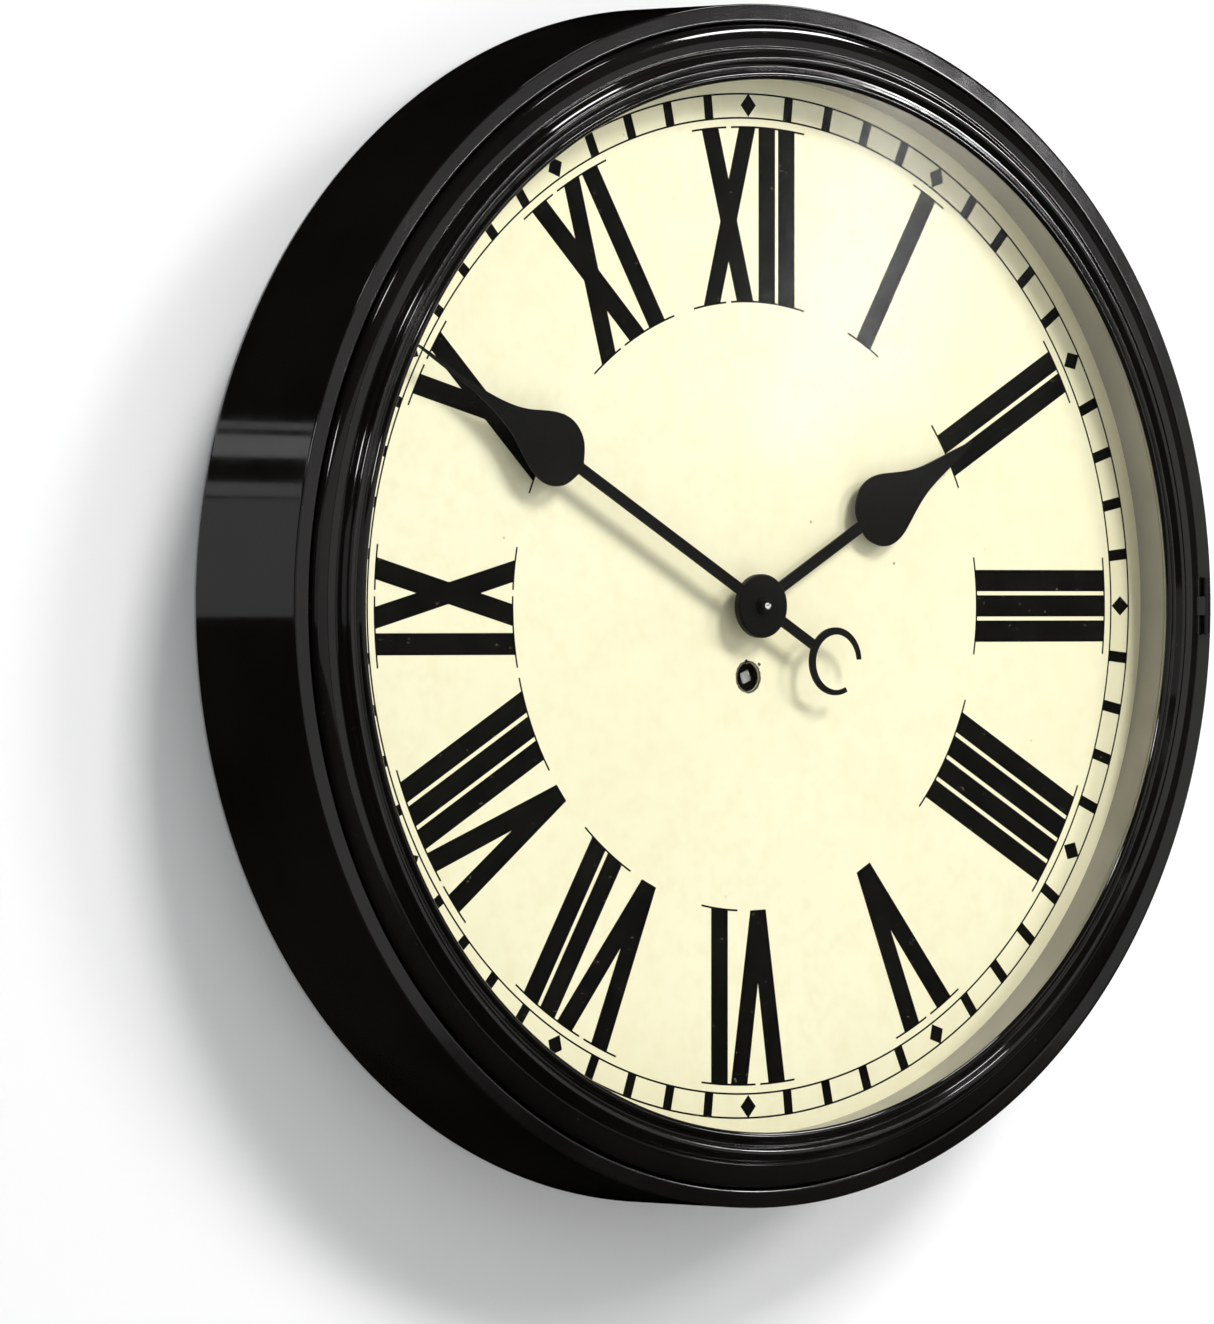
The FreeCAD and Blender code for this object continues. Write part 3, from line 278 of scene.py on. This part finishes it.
# ------------------------------------------------------------------------------------- back cover
# A thin steel disc in satin black, screwed on and rubbed by the wall where the clock has hung.
def cover_paint():
    f = Finish("cover_paint")
    rub = f.span(f.noise(11.0, 8.0, 0.7), 0.50, 0.72)
    base = f.mix(rub, (0.022, 0.021, 0.020), (0.055, 0.052, 0.048))
    chips = f.span(f.noise(160.0, 5.0, 0.7), 0.69, 0.71)
    f.colour(f.mix(chips, base, (0.16, 0.15, 0.14)))
    f.roughness(f.span(f.noise(45.0, 5.0), 0.3, 0.7, 0.38, 0.58))
    f.bump(f.noise(900.0, 3.0), 0.18, 0.05)
    return f.material


paint(cover_paint(), "back_cover")


# ------------------------------------------------------------------------------------------- dial
# A flat sheet dial in old cream enamel paint, with faint yellowing and small brown age spots.
WINDING_DROP = 29.5
DIAL_FACE = 53.0


def dial_paint():
    f = Finish("dial_paint", coat=0.10, coat_roughness=0.20)
    age = f.span(f.noise(7.0, 5.0), 0.35, 0.68)
    base = f.mix(age, (0.920, 0.862, 0.615), (0.885, 0.815, 0.555))
    mottle = f.span(f.noise(120.0, 5.0, 0.7), 0.45, 0.85)
    base = f.mix(mottle, base, (0.850, 0.765, 0.500))
    spots = f.add("ShaderNodeTexVoronoi", Vector=f.place, Scale=62.0).outputs["Distance"]
    cluster = f.span(f.noise(14.0, 2.0), 0.52, 0.62)
    speck = f.maths(f.span(spots, 0.052, 0.026), cluster, "MULTIPLY")
    f.colour(f.mix(speck, base, (0.40, 0.29, 0.14)))
    f.roughness(f.span(f.noise(30.0, 6.0), 0.3, 0.7, 0.34, 0.50))
    f.bump(f.noise(260.0, 3.0), 0.08, 0.05)
    return f.material


paint(dial_paint(), "dial")


# ------------------------------------------------------------------------------------ worn winding rim
# The key has worn the paint round the winding hole, and left two small chips above it.
WINDING_HOLE = 6.0


def worn_metal():
    f = Finish("worn_rim", metallic=0.4)
    grime = f.span(f.noise(420.0, 5.0, 0.7), 0.35, 0.65)
    f.colour(f.mix(grime, (0.24, 0.21, 0.15), (0.07, 0.06, 0.045)))
    f.roughness(f.span(f.noise(200.0, 4.0), 0.3, 0.7, 0.35, 0.6))
    f.bump(f.noise(500.0, 3.0), 0.3, 0.05)
    return f.material


def merge(target, source):
    """Moves one bmesh into another."""
    holder = bpy.data.meshes.new("holder")
    source.to_mesh(holder)
    source.free()
    target.from_mesh(holder)
    bpy.data.meshes.remove(holder)


random.seed(7)
WEAR_LAYER = 0.03
RAGGED = 0.22
WEAR_STEPS = 48
RIM_WORN = 0.9
CHIPS = ((-1.0, -23.2, 0.95, 0.0), (6.0, -24.4, 0.80, 0.0))
wear = bmesh.new()
for across, up, reach, hole in ((0.0, -WINDING_DROP, WINDING_HOLE + RIM_WORN, WINDING_HOLE), *CHIPS):
    spot = turned([(hole, DIAL_FACE), (reach, DIAL_FACE), (reach, DIAL_FACE + WEAR_LAYER),
                   (hole, DIAL_FACE + WEAR_LAYER)], steps=WEAR_STEPS)
    ragged = [1 + random.uniform(-RAGGED, RAGGED) / reach for k in range(WEAR_STEPS)]
    for v in spot.verts:
        if math.hypot(v.co.x, v.co.z) > (hole + reach) / 2 * MM:
            grown = ragged[round(math.atan2(v.co.z, v.co.x) / math.tau * WEAR_STEPS) % WEAR_STEPS]
            v.co = (v.co.x * grown, v.co.y, v.co.z * grown)
    bmesh.ops.translate(spot, verts=spot.verts, vec=(across * MM, 0, up * MM))
    merge(wear, spot)
piece("winding_rim_wear", wear, worn_metal(), "case")


# ----------------------------------------------------------------------------- painted dial figures
# The minute track, diamonds and twelve Roman numerals are black paint laid on by hand, a few
# hundredths of a millimetre thick, with worn flecks in the broad strokes.
PAINT_LAYER = 0.05
TRACK_OUTER = 213.0
TRACK_INNER = 203.0
TRACK_LINE = 0.75
TICK_WIDTH = 4.6
DIAMOND_RADIAL = 9.6
DIAMOND_ACROSS = 8.3
DIAMOND_SHIFT = 0.3
NUMERAL_OUTER = 199.2
NUMERAL_INNER = 126.7
STROKE = 9.0
STROKE_GAP = 1.7
SERIF_LINE = 0.8
SERIF_REACH = 5.3
SERIF_BREAK = 2.6
CROSS_OUTER = 29.3
CROSS_INNER = 27.1
VEE_OUTER = 29.6
VEE_APEX = 8.4
NUMERALS = ["XII", "I", "II", "III", "IIII", "V", "VI", "VII", "VIII", "IX", "X", "XI"]


def dial_black():
    """Flat black paint with pinholes and short scratches that show the cream below."""
    f = Finish("dial_black")
    f.shader.inputs["Specular IOR Level"].default_value = 0.06
    depth = f.span(f.noise(60.0, 4.0), 0.35, 0.7)
    base = f.mix(depth, (0.0022, 0.0019, 0.0013), (0.0060, 0.0052, 0.0038))
    worn = f.span(f.noise(330.0, 3.0, 0.6), 0.70, 0.735)
    scratch = f.span(f.noise(150.0, 2.0, 0.5, (1.0, 1.0, 7.0)), 0.725, 0.75)
    f.colour(f.mix(f.maths(worn, scratch, "MAXIMUM"), base, (0.16, 0.14, 0.095)))
    f.roughness(f.span(f.noise(90.0, 4.0), 0.3, 0.7, 0.38, 0.56))
    f.bump(f.noise(500.0, 3.0), 0.15, 0.03)
    return f.material


DIAL_BLACK = dial_black()


def raise_paint(bm, lift=1.0):
    """Gives flat figures, drawn on the dial's face, the thickness of the paint."""
    bmesh.ops.recalc_face_normals(bm, faces=bm.faces)
    grown = bmesh.ops.extrude_face_region(bm, geom=bm.faces[:])
    tops = [v for v in grown["geom"] if isinstance(v, bmesh.types.BMVert)]
    bmesh.ops.translate(bm, verts=tops, vec=(0, -PAINT_LAYER * lift * MM, 0))
    bmesh.ops.recalc_face_normals(bm, faces=bm.faces)


def on_dial(radius, across):
    """A point on the dial's face near twelve, across to the right, at a distance from the centre."""
    return Vector((across * MM, -DIAL_FACE * MM, math.sqrt(radius**2 - across**2) * MM))


def patch(bm, corners):
    """One flat figure from its four corners."""
    return bm.faces.new([bm.verts.new(c) for c in corners])


def stroke(bm, outer, inner, width=STROKE, apex=None):
    """A broad stroke from its left edge on the outer line to its left edge on the inner line."""
    low = width if apex is None else apex
    patch(bm, [on_dial(NUMERAL_OUTER, outer), on_dial(NUMERAL_OUTER, outer + width),
               on_dial(NUMERAL_INNER, inner + low), on_dial(NUMERAL_INNER, inner)])


def serif(bm, radius, left, right):
    """A hairline that follows the circle through the ends of the strokes."""
    ends = [bm.verts.new((0, -DIAL_FACE * MM, (radius + side * SERIF_LINE / 2) * MM))
            for side in (-1, 1)]
    across = bm.edges.new(ends)
    start, end = math.asin(left / radius), math.asin(right / radius)
    bmesh.ops.rotate(bm, verts=ends, cent=(0, 0, 0), matrix=Matrix.Rotation(start, 3, "Y"))
    bmesh.ops.spin(bm, geom=ends + [across], cent=(0, 0, 0), axis=(0, 1, 0), angle=end - start,
                   steps=max(4, int((right - left) / 2.5)))


def lines_with_breaks(bm, radius, left, right, breaks):
    """Hairlines with a gap at each break, reaching past the outermost strokes."""
    edges = [left - SERIF_REACH]
    for middle in breaks:
        edges += [middle - SERIF_BREAK / 2, middle + SERIF_BREAK / 2]
    edges.append(right + SERIF_REACH)
    for a, b in zip(edges[::2], edges[1::2]):
        serif(bm, radius, a, b)


def numeral(text):
    """Strokes of one numeral at twelve: the first and second layers and the serif lines."""
    widths = {"I": STROKE, "V": VEE_OUTER, "X": CROSS_OUTER}
    total = sum(widths[c] for c in text) + STROKE_GAP * (len(text) - 1)
    first, second, lines = bmesh.new(), bmesh.new(), bmesh.new()
    at = -total / 2
    outer_breaks, inner_breaks, inner_left, inner_right = [], [], None, None
    for letter in text:
        middle = at + widths[letter] / 2
        if letter == "I":
            stroke(first, at, at)
            low, high = at, at + STROKE
        elif letter == "X":
            low, high = middle - CROSS_INNER / 2, middle + CROSS_INNER / 2
            stroke(first, at, high - STROKE)
            stroke(second, at + CROSS_OUTER - STROKE, low)
            outer_breaks.append(middle)
            inner_breaks.append(middle)
        else:
            stroke(first, at, middle - VEE_APEX / 2, STROKE, VEE_APEX)
            stroke(second, at + VEE_OUTER - STROKE, middle - VEE_APEX / 2, STROKE, VEE_APEX)
            outer_breaks.append(middle)
            low = high = None
        if low is not None:
            inner_left = low if inner_left is None else min(inner_left, low)
            inner_right = high if inner_right is None else max(inner_right, high)
        at += widths[letter] + STROKE_GAP
    lines_with_breaks(lines, NUMERAL_OUTER, -total / 2, total / 2, outer_breaks)
    if inner_left is not None:
        lines_with_breaks(lines, NUMERAL_INNER, inner_left, inner_right, inner_breaks)
    return first, second, lines


def turn_about_axis(bm, turn):
    """Turns figures clockwise about the clock's axis, from twelve to where they belong."""
    bmesh.ops.rotate(bm, verts=bm.verts, cent=(0, 0, 0), matrix=Matrix.Rotation(turn, 3, "Y"))


figures = bmesh.new()
for hour, text in enumerate(NUMERALS):
    turn = hour * math.tau / 12
    first, second, lines = numeral(text)
    for layer, lift in ((first, 1.0), (second, 1.2), (lines, 0.8)):
        if layer.faces:
            raise_paint(layer, lift)
            turn_about_axis(layer, turn)
            merge(figures, layer)
        else:
            layer.free()
piece("dial_numerals", figures, DIAL_BLACK, "case", crease=20.0)

track = bmesh.new()
for minute in range(60):
    mark = bmesh.new()
    if minute % 5:
        patch(mark, [on_dial(r, s * TICK_WIDTH / 2) for r, s in
                     ((TRACK_INNER, -1), (TRACK_OUTER, -1), (TRACK_OUTER, 1), (TRACK_INNER, 1))])
    else:
        middle = (TRACK_INNER + TRACK_OUTER) / 2 + DIAMOND_SHIFT
        patch(mark, [on_dial(middle, -DIAMOND_ACROSS / 2), on_dial(middle + DIAMOND_RADIAL / 2, 0),
                     on_dial(middle, DIAMOND_ACROSS / 2), on_dial(middle - DIAMOND_RADIAL / 2, 0)])
    raise_paint(mark)
    turn_about_axis(mark, minute * math.tau / 60)
    merge(track, mark)
for radius in (TRACK_INNER, TRACK_OUTER):
    ring = turned([(radius - TRACK_LINE / 2, DIAL_FACE), (radius + TRACK_LINE / 2, DIAL_FACE),
                   (radius + TRACK_LINE / 2, DIAL_FACE + PAINT_LAYER * 0.9),
                   (radius - TRACK_LINE / 2, DIAL_FACE + PAINT_LAYER * 0.9)])
    merge(track, ring)
piece("minute_track", track, DIAL_BLACK, "case", crease=20.0)


# ------------------------------------------------------------------------------------ cream rings
# A rolled steel ring hides the gap between dial and glass, and a smaller one holds the glass in the
# bezel. Both are in cream paint, darkened here all over to grey-cream as painted shade for the shadow
# inside the bezel.
REVEAL_R = 220.1
REVEAL_SHEET = 1.0
REVEAL_TOP = 67.7
FOOT_OUTER = 229.9
FOOT_TOP = DIAL_FACE + 0.8
REVEAL_PROFILE = [
    (REVEAL_R, DIAL_FACE),
    (FOOT_OUTER, DIAL_FACE),
    (FOOT_OUTER, FOOT_TOP),
    (REVEAL_R + REVEAL_SHEET, FOOT_TOP),
    (REVEAL_R + REVEAL_SHEET, REVEAL_TOP - REVEAL_SHEET),
    (REVEAL_R + 2 * REVEAL_SHEET, REVEAL_TOP - REVEAL_SHEET),
    (REVEAL_R + 2 * REVEAL_SHEET, REVEAL_TOP),
    (REVEAL_R + 0.5, REVEAL_TOP),
    (REVEAL_R + 0.15, REVEAL_TOP - 0.15),
    (REVEAL_R, REVEAL_TOP - 0.5),
]
RETAINER_INNER = 219.7
GLASS_SEAT_R = 223.1
GLASS_REBATE = 68.1
RETAINER_TOP = 69.6
RETAINER_PROFILE = [
    (RETAINER_INNER, GLASS_REBATE + 0.6),
    (RETAINER_INNER + 0.2, GLASS_REBATE + 0.2),
    (RETAINER_INNER + 1.0, GLASS_REBATE),
    (GLASS_SEAT_R, GLASS_REBATE),
    (GLASS_SEAT_R, RETAINER_TOP),
    (RETAINER_INNER, RETAINER_TOP),
]


def ring_paint():
    f = Finish("ring_paint", coat=0.15, coat_roughness=0.15)
    age = f.span(f.noise(16.0, 5.0), 0.35, 0.7)
    # grey-cream with random age tones: cream paint made darker throughout as painted shade
    f.colour(f.mix(age, (0.400, 0.372, 0.318), (0.330, 0.305, 0.255)))
    f.roughness(f.span(f.noise(50.0, 5.0), 0.3, 0.7, 0.30, 0.46))
    f.bump(f.noise(240.0, 3.0), 0.10, 0.05)
    return f.material


RING_PAINT_DARKENED_FOR_SHADE = ring_paint()
piece("reveal", turned(REVEAL_PROFILE), RING_PAINT_DARKENED_FOR_SHADE, "case", ["reveal_ring"])
piece("retainer", turned(RETAINER_PROFILE), RING_PAINT_DARKENED_FOR_SHADE, "bezel", ["glass_retainer"], 60.0)


# ------------------------------------------------------------------------------------------ bezel
# The bezel is a turned casting: from outside a rounded edge, a low swell, a flat, a fine groove, a bold
# round to the crest, a slope inwards, a second fine groove and a rounded lip. It has the drum's lacquer.
def arc(start, through, end, steps=7):
    """Points after start along the circle through three (radius, depth) points."""
    (ax, ay), (bx, by), (cx, cy) = start, through, end
    d = 2 * (ax * (by - cy) + bx * (cy - ay) + cx * (ay - by))
    a2, b2, c2 = ax * ax + ay * ay, bx * bx + by * by, cx * cx + cy * cy
    ux = (a2 * (by - cy) + b2 * (cy - ay) + c2 * (ay - by)) / d
    uy = (a2 * (cx - bx) + b2 * (ax - cx) + c2 * (bx - ax)) / d
    reach = math.hypot(ax - ux, ay - uy)
    first, middle, last = (math.atan2(y - uy, x - ux) for x, y in (start, through, end))
    sweep = (last - first + math.pi) % math.tau - math.pi
    if not 0 <= ((middle - first + math.pi) % math.tau - math.pi) / sweep <= 1:
        sweep -= math.copysign(math.tau, sweep)
    turns = [first + sweep * k / steps for k in range(1, steps + 1)]
    return [(ux + reach * math.cos(a), uy + reach * math.sin(a)) for a in turns]


BEZEL_EDGE = 241.4
BEZEL_LOW = 64.0
CREST = 73.2
GLASS_FACE = 71.4
e, low = BEZEL_EDGE, BEZEL_LOW
BEZEL_PROFILE = (
    [(e, low), (e, low + 1.2)] + arc((e, low + 1.2), (e - 0.5, low + 2.7), (e - 1.5, low + 3.5))
    + arc((e - 1.5, low + 3.5), (e - 4.1, low + 4.4), (e - 6.8, low + 4.7))
    + [(e - 9.2, low + 4.8), (e - 9.7, low + 4.05), (e - 10.1, low + 4.05), (e - 10.9, low + 4.5)]
    + arc((e - 10.9, low + 4.5), (e - 11.5, low + 6.3), (e - 12.9, low + 7.5))
    + arc((e - 12.9, low + 7.5), (e - 13.2, CREST - 0.5), (e - 13.9, CREST), 4)
    + [(e - 15.4, CREST - 0.1), (e - 17.4, CREST - 2.0), (e - 18.9, CREST - 2.0), (e - 19.1, CREST - 2.3),
       (e - 19.4, CREST - 1.9)]
    + arc((e - 19.4, CREST - 1.9), (e - 21.2, CREST - 0.7), (e - 23.0, CREST - 1.7))
    + [(e - 23.0, GLASS_FACE), (GLASS_SEAT_R, GLASS_FACE), (GLASS_SEAT_R, GLASS_REBATE),
       (225.5, GLASS_REBATE), (e - 12.0, low + 2.6), (e - 4.6, low + 2.6), (e - 1.6, low)])
BEZEL_SOFTENING = 0.25
piece("bezel_moulding", turned(BEZEL_PROFILE, BEZEL_SOFTENING), LACQUER, "bezel", ["bezel_ring"],
      50.0)
paint(LACQUER, "hinge_case_leaf", "hinge_bezel_leaf")


# ------------------------------------------------------------------------------------------ glass
# Plain drawn sheet, flat and clear, with the faint waviness of old glass and a trace of dust.
def window_glass():
    f = Finish("window_glass")
    nodes, links = f.tree.nodes, f.tree.links
    f.bump(f.noise(5.0, 1.0), 0.10, 0.6)
    clear = f.add("ShaderNodeBsdfTransparent", Color=(0.985, 0.992, 0.985, 1))
    mirror = f.add("ShaderNodeBsdfGlossy", Color=(1, 1, 1, 1), Roughness=0.07)
    links.new(f.shader.inputs["Normal"].links[0].from_socket, mirror.inputs["Normal"])
    shine = f.maths(f.add("ShaderNodeFresnel", IOR=1.5).outputs[0], 0.10, "MULTIPLY")
    film = f.maths(f.span(f.noise(24.0, 6.0, 0.7), 0.45, 0.8, 0.0, 0.002), shine)
    front = f.maths(1.0, f.add("ShaderNodeNewGeometry").outputs["Backfacing"], "SUBTRACT")
    mixed = f.add("ShaderNodeMixShader")
    links.new(f.maths(film, front, "MULTIPLY"), mixed.inputs[0])
    links.new(clear.outputs[0], mixed.inputs[1])
    links.new(mirror.outputs[0], mixed.inputs[2])
    links.new(mixed.outputs[0], nodes["Material Output"].inputs["Surface"])
    nodes.remove(f.shader)
    return f.material


paint(window_glass(), "bezel_glass")


# ------------------------------------------------------------------------------------------ brass
# Plates, wheels, barrel, bob and cocks are sawn and grained brass under old lacquer, golden with
# browner patches.
def brass():
    f = Finish("brass", metallic=1.0)
    tarnish = f.span(f.noise(34.0, 7.0, 0.65), 0.42, 0.75)
    base = f.mix(tarnish, (0.72, 0.50, 0.20), (0.42, 0.27, 0.10))
    spots = f.span(f.noise(260.0, 3.0), 0.70, 0.76)
    f.colour(f.mix(spots, base, (0.16, 0.10, 0.045)))
    f.roughness(f.span(f.noise(300.0, 4.0, 0.6, (1.0, 1.0, 0.12)), 0.3, 0.7, 0.22, 0.38))
    f.bump(f.noise(1800.0, 2.0, 0.5, (1.0, 1.0, 0.05)), 0.15, 0.02)
    return f.material


paint(brass(), "back_plate", "front_plate", "plate_pillars", "barrel", "barrel_cap", "second_wheel",
      "centre_wheel", "third_wheel", "escape_wheel", "crutch", "suspension_cock", "pendulum_bob",
      "rating_nut", "minute_wheel", "hour_wheel")


# --------------------------------------------------------------------------------- movement steel
# Arbors, pinions, ratchet and click are hardened and polished; the springs are blued.
POLISHED = steel("polished_steel", (0.56, 0.555, 0.55), (0.36, 0.34, 0.32), 0.14, (1.0, 0.1, 1.0))
BLUED = steel("blued_steel", (0.055, 0.085, 0.20), (0.12, 0.08, 0.13), 0.24)
paint(POLISHED, "winding_arbor", "ratchet_wheel", "click", "click_screw", "second_arbor", "centre_arbor",
      "third_arbor", "escape_arbor", "anchor_arbor", "suspension_pin", "pendulum_rod", "cannon_pinion",
      "minute_post")
paint(BLUED, "mainspring", "suspension_spring", "catch_clip")


# ------------------------------------------------------------------------------------------ hands
# Spade hands sawn from thin sheet and painted satin black. The minute hand has a thick round boss, and
# a washer and round nut hold it.
def hand_paint():
    f = Finish("hand_paint")
    f.shader.inputs["Specular IOR Level"].default_value = 0.16
    depth = f.span(f.noise(40.0, 4.0), 0.35, 0.7)
    base = f.mix(depth, (0.0035, 0.0030, 0.0026), (0.0075, 0.0066, 0.0058))
    dust = f.span(f.noise(700.0, 2.0), 0.71, 0.78)
    f.colour(f.mix(dust, base, (0.05, 0.047, 0.042)))
    f.roughness(f.span(f.noise(80.0, 5.0), 0.3, 0.7, 0.34, 0.52))
    f.bump(f.noise(600.0, 3.0), 0.15, 0.03)
    return f.material


HAND_PAINT = hand_paint()
paint(HAND_PAINT, "minute_hand", "hour_hand", "hand_washer", "hand_nut")


# ------------------------------------------------------------------------------- room, light, camera
# A pale floor and a pale wall, which is clear from behind. Soft lamps high in front light the clock;
# cards, panes and tubes only show as reflections in the gloss, and the lamps don't.
CENTRE = Vector((0.0, -DIAL_FACE * MM, 0.0))


def pale(name, tone, see_through=False):
    f = Finish(name)
    shade = f.span(f.noise(3.0, 4.0), 0.3, 0.7)
    f.colour(f.mix(shade, (tone, tone, tone * 0.985), (tone * 0.985, tone * 0.985, tone * 0.97)))
    f.roughness(f.span(f.noise(60.0, 4.0), 0.3, 0.7, 0.75, 0.9))
    f.bump(f.noise(300.0, 3.0), 0.05, 0.1)
    if see_through:
        back = f.add("ShaderNodeNewGeometry").outputs["Backfacing"]
        clear = f.add("ShaderNodeBsdfTransparent")
        mixed = f.add("ShaderNodeMixShader", _0=back, _1=f.shader.outputs[0], _2=clear.outputs[0])
        f.tree.links.new(mixed.outputs[0], f.tree.nodes["Material Output"].inputs["Surface"])
    return f.material


def sheet(name, size, turn, place, finish):
    bm = bmesh.new()
    bmesh.ops.create_grid(bm, x_segments=8, y_segments=8, size=size)
    bmesh.ops.rotate(bm, verts=bm.verts, cent=(0, 0, 0), matrix=turn)
    bmesh.ops.translate(bm, verts=bm.verts, vec=place)
    mesh = bpy.data.meshes.new(name)
    bm.to_mesh(mesh)
    bm.free()
    mesh.materials.append(finish)
    obj = bpy.data.objects.new(name, mesh)
    bpy.context.collection.objects.link(obj)
    return obj


floor = sheet("floor", 6.0, Matrix.Identity(3), (0, -5.0, -1.3), pale("floor_paint", 0.82))
wall = sheet("wall", 3.0, Matrix.Rotation(math.radians(90), 3, "X"), (0, 0.001, 1.7),
             pale("wall_paint", 0.90, True))
wall.visible_shadow = False
wall.visible_diffuse = False
wall.visible_glossy = False
floor.visible_glossy = False


def lamp(name, place, aim, size, power, size_y=None):
    data = bpy.data.lights.new(name, "AREA")
    data.shape = "RECTANGLE"
    data.size = size
    data.size_y = size_y or size
    data.energy = power
    obj = bpy.data.objects.new(name, data)
    obj.location = place
    obj.rotation_euler = (Vector(aim) - Vector(place)).to_track_quat("-Z", "Y").to_euler()
    bpy.context.collection.objects.link(obj)
    return obj


def card(name, place, size, size_y, radiance):
    """A dim upright panel that shows in the gloss as a grey reflection and lights nothing else."""
    power = math.pi * size * size_y * radiance
    panel = lamp(name, place, (0.0, -DIAL_FACE * MM, place[2]), size, power, size_y)
    panel.visible_diffuse = False
    panel.visible_camera = False
    return panel


lamp("key", CENTRE + Vector((0.75, -2.05, 2.00)), CENTRE, 0.80, 62.0).visible_glossy = False
lamp("side", CENTRE + Vector((2.35, -2.10, 1.40)), CENTRE, 0.70, 38.0).visible_glossy = False
lamp("front_fill", CENTRE + Vector((0.6, -3.4, 0.3)), CENTRE, 2.4, 10.0).visible_glossy = False
window = lamp("window", CENTRE + Vector((1.98, -1.60, 1.92)), CENTRE, 1.1, 24.0, 0.30)
window.visible_diffuse = False
# three panes, high at the left and overhead, which the rounds of the bezel show as bright streaks
PANE_GLOW = 20.0
for place, width, height in (((-1.41, -1.71, 2.00), 0.50, 0.22), ((-1.98, -1.89, 1.05), 0.42, 0.30),
                             ((0.57, -1.44, 2.58), 0.60, 0.24)):
    pane = lamp("pane", CENTRE + Vector(place), CENTRE, width, math.pi * width * height * PANE_GLOW, height)
    pane.visible_diffuse = False
    pane.visible_camera = False
for name, place, width, height, radiance in (
        ("right_card", (2.04, -2.46, 0.22), 1.9, 1.02, 0.42),
        ("front_card", (-0.20, -3.30, 0.22), 3.0, 1.02, 0.30),
        ("left_front_card", (-2.60, -1.90, 0.30), 2.6, 0.9, 0.26),
        ("left_card", (-1.95, 2.28, 0.31), 1.9, 0.76, 0.38),
        ("left_strip", (-1.95, 2.28, 0.75), 1.9, 0.09, 0.56),
        ("upper_strip", (-1.95, 2.28, 1.04), 1.9, 0.15, 0.85),
        ("top_strip", (-1.95, 2.28, 1.18), 1.9, 0.05, 0.65),
):
    card(name, place, width, height, radiance)

# two slanting tubes that the glass mirrors beside the figure for one
TUBE_SLANT = math.radians(-18.0)
for across, width, length, glow in ((2.105, 0.045, 0.26, 40.0), (2.180, 0.030, 0.19, 28.0)):
    tube = card("glass_tube", (across, -2.46, 0.225), width, length, glow)
    tube.rotation_euler.rotate_axis("Z", TUBE_SLANT)

# from behind, a soft light that shows the back cover when the clock is off the wall
lamp("rear_fill", (-1.4, 2.6, 1.3), (0, 0, 0), 1.4, 30.0).visible_glossy = False

world = bpy.data.worlds.new("surround")
world.use_nodes = True
world.node_tree.nodes["Background"].inputs["Color"].default_value = (0.86, 0.88, 0.92, 1)
world.node_tree.nodes["Background"].inputs["Strength"].default_value = 0.48
world.cycles_visibility.glossy = False
bpy.context.scene.world = world
bpy.context.scene.view_settings.view_transform = "Standard"

CAMERA_LENS = 343.15
CAMERA_PLACE = CENTRE + Vector((-3.4032, -3.9989, 0.0031))
CAMERA_AIM = CENTRE + Vector((-0.0447, 0.0381, -0.0233))
camera_data = bpy.data.cameras.new("camera")
camera_data.lens = CAMERA_LENS
camera_data.sensor_width = 36.0
camera_data.clip_end = 50.0
camera = bpy.data.objects.new("camera", camera_data)
camera.location = CAMERA_PLACE
camera.rotation_euler = (CAMERA_AIM - CAMERA_PLACE).to_track_quat("-Z", "Y").to_euler()
bpy.context.collection.objects.link(camera)
bpy.context.scene.camera = camera
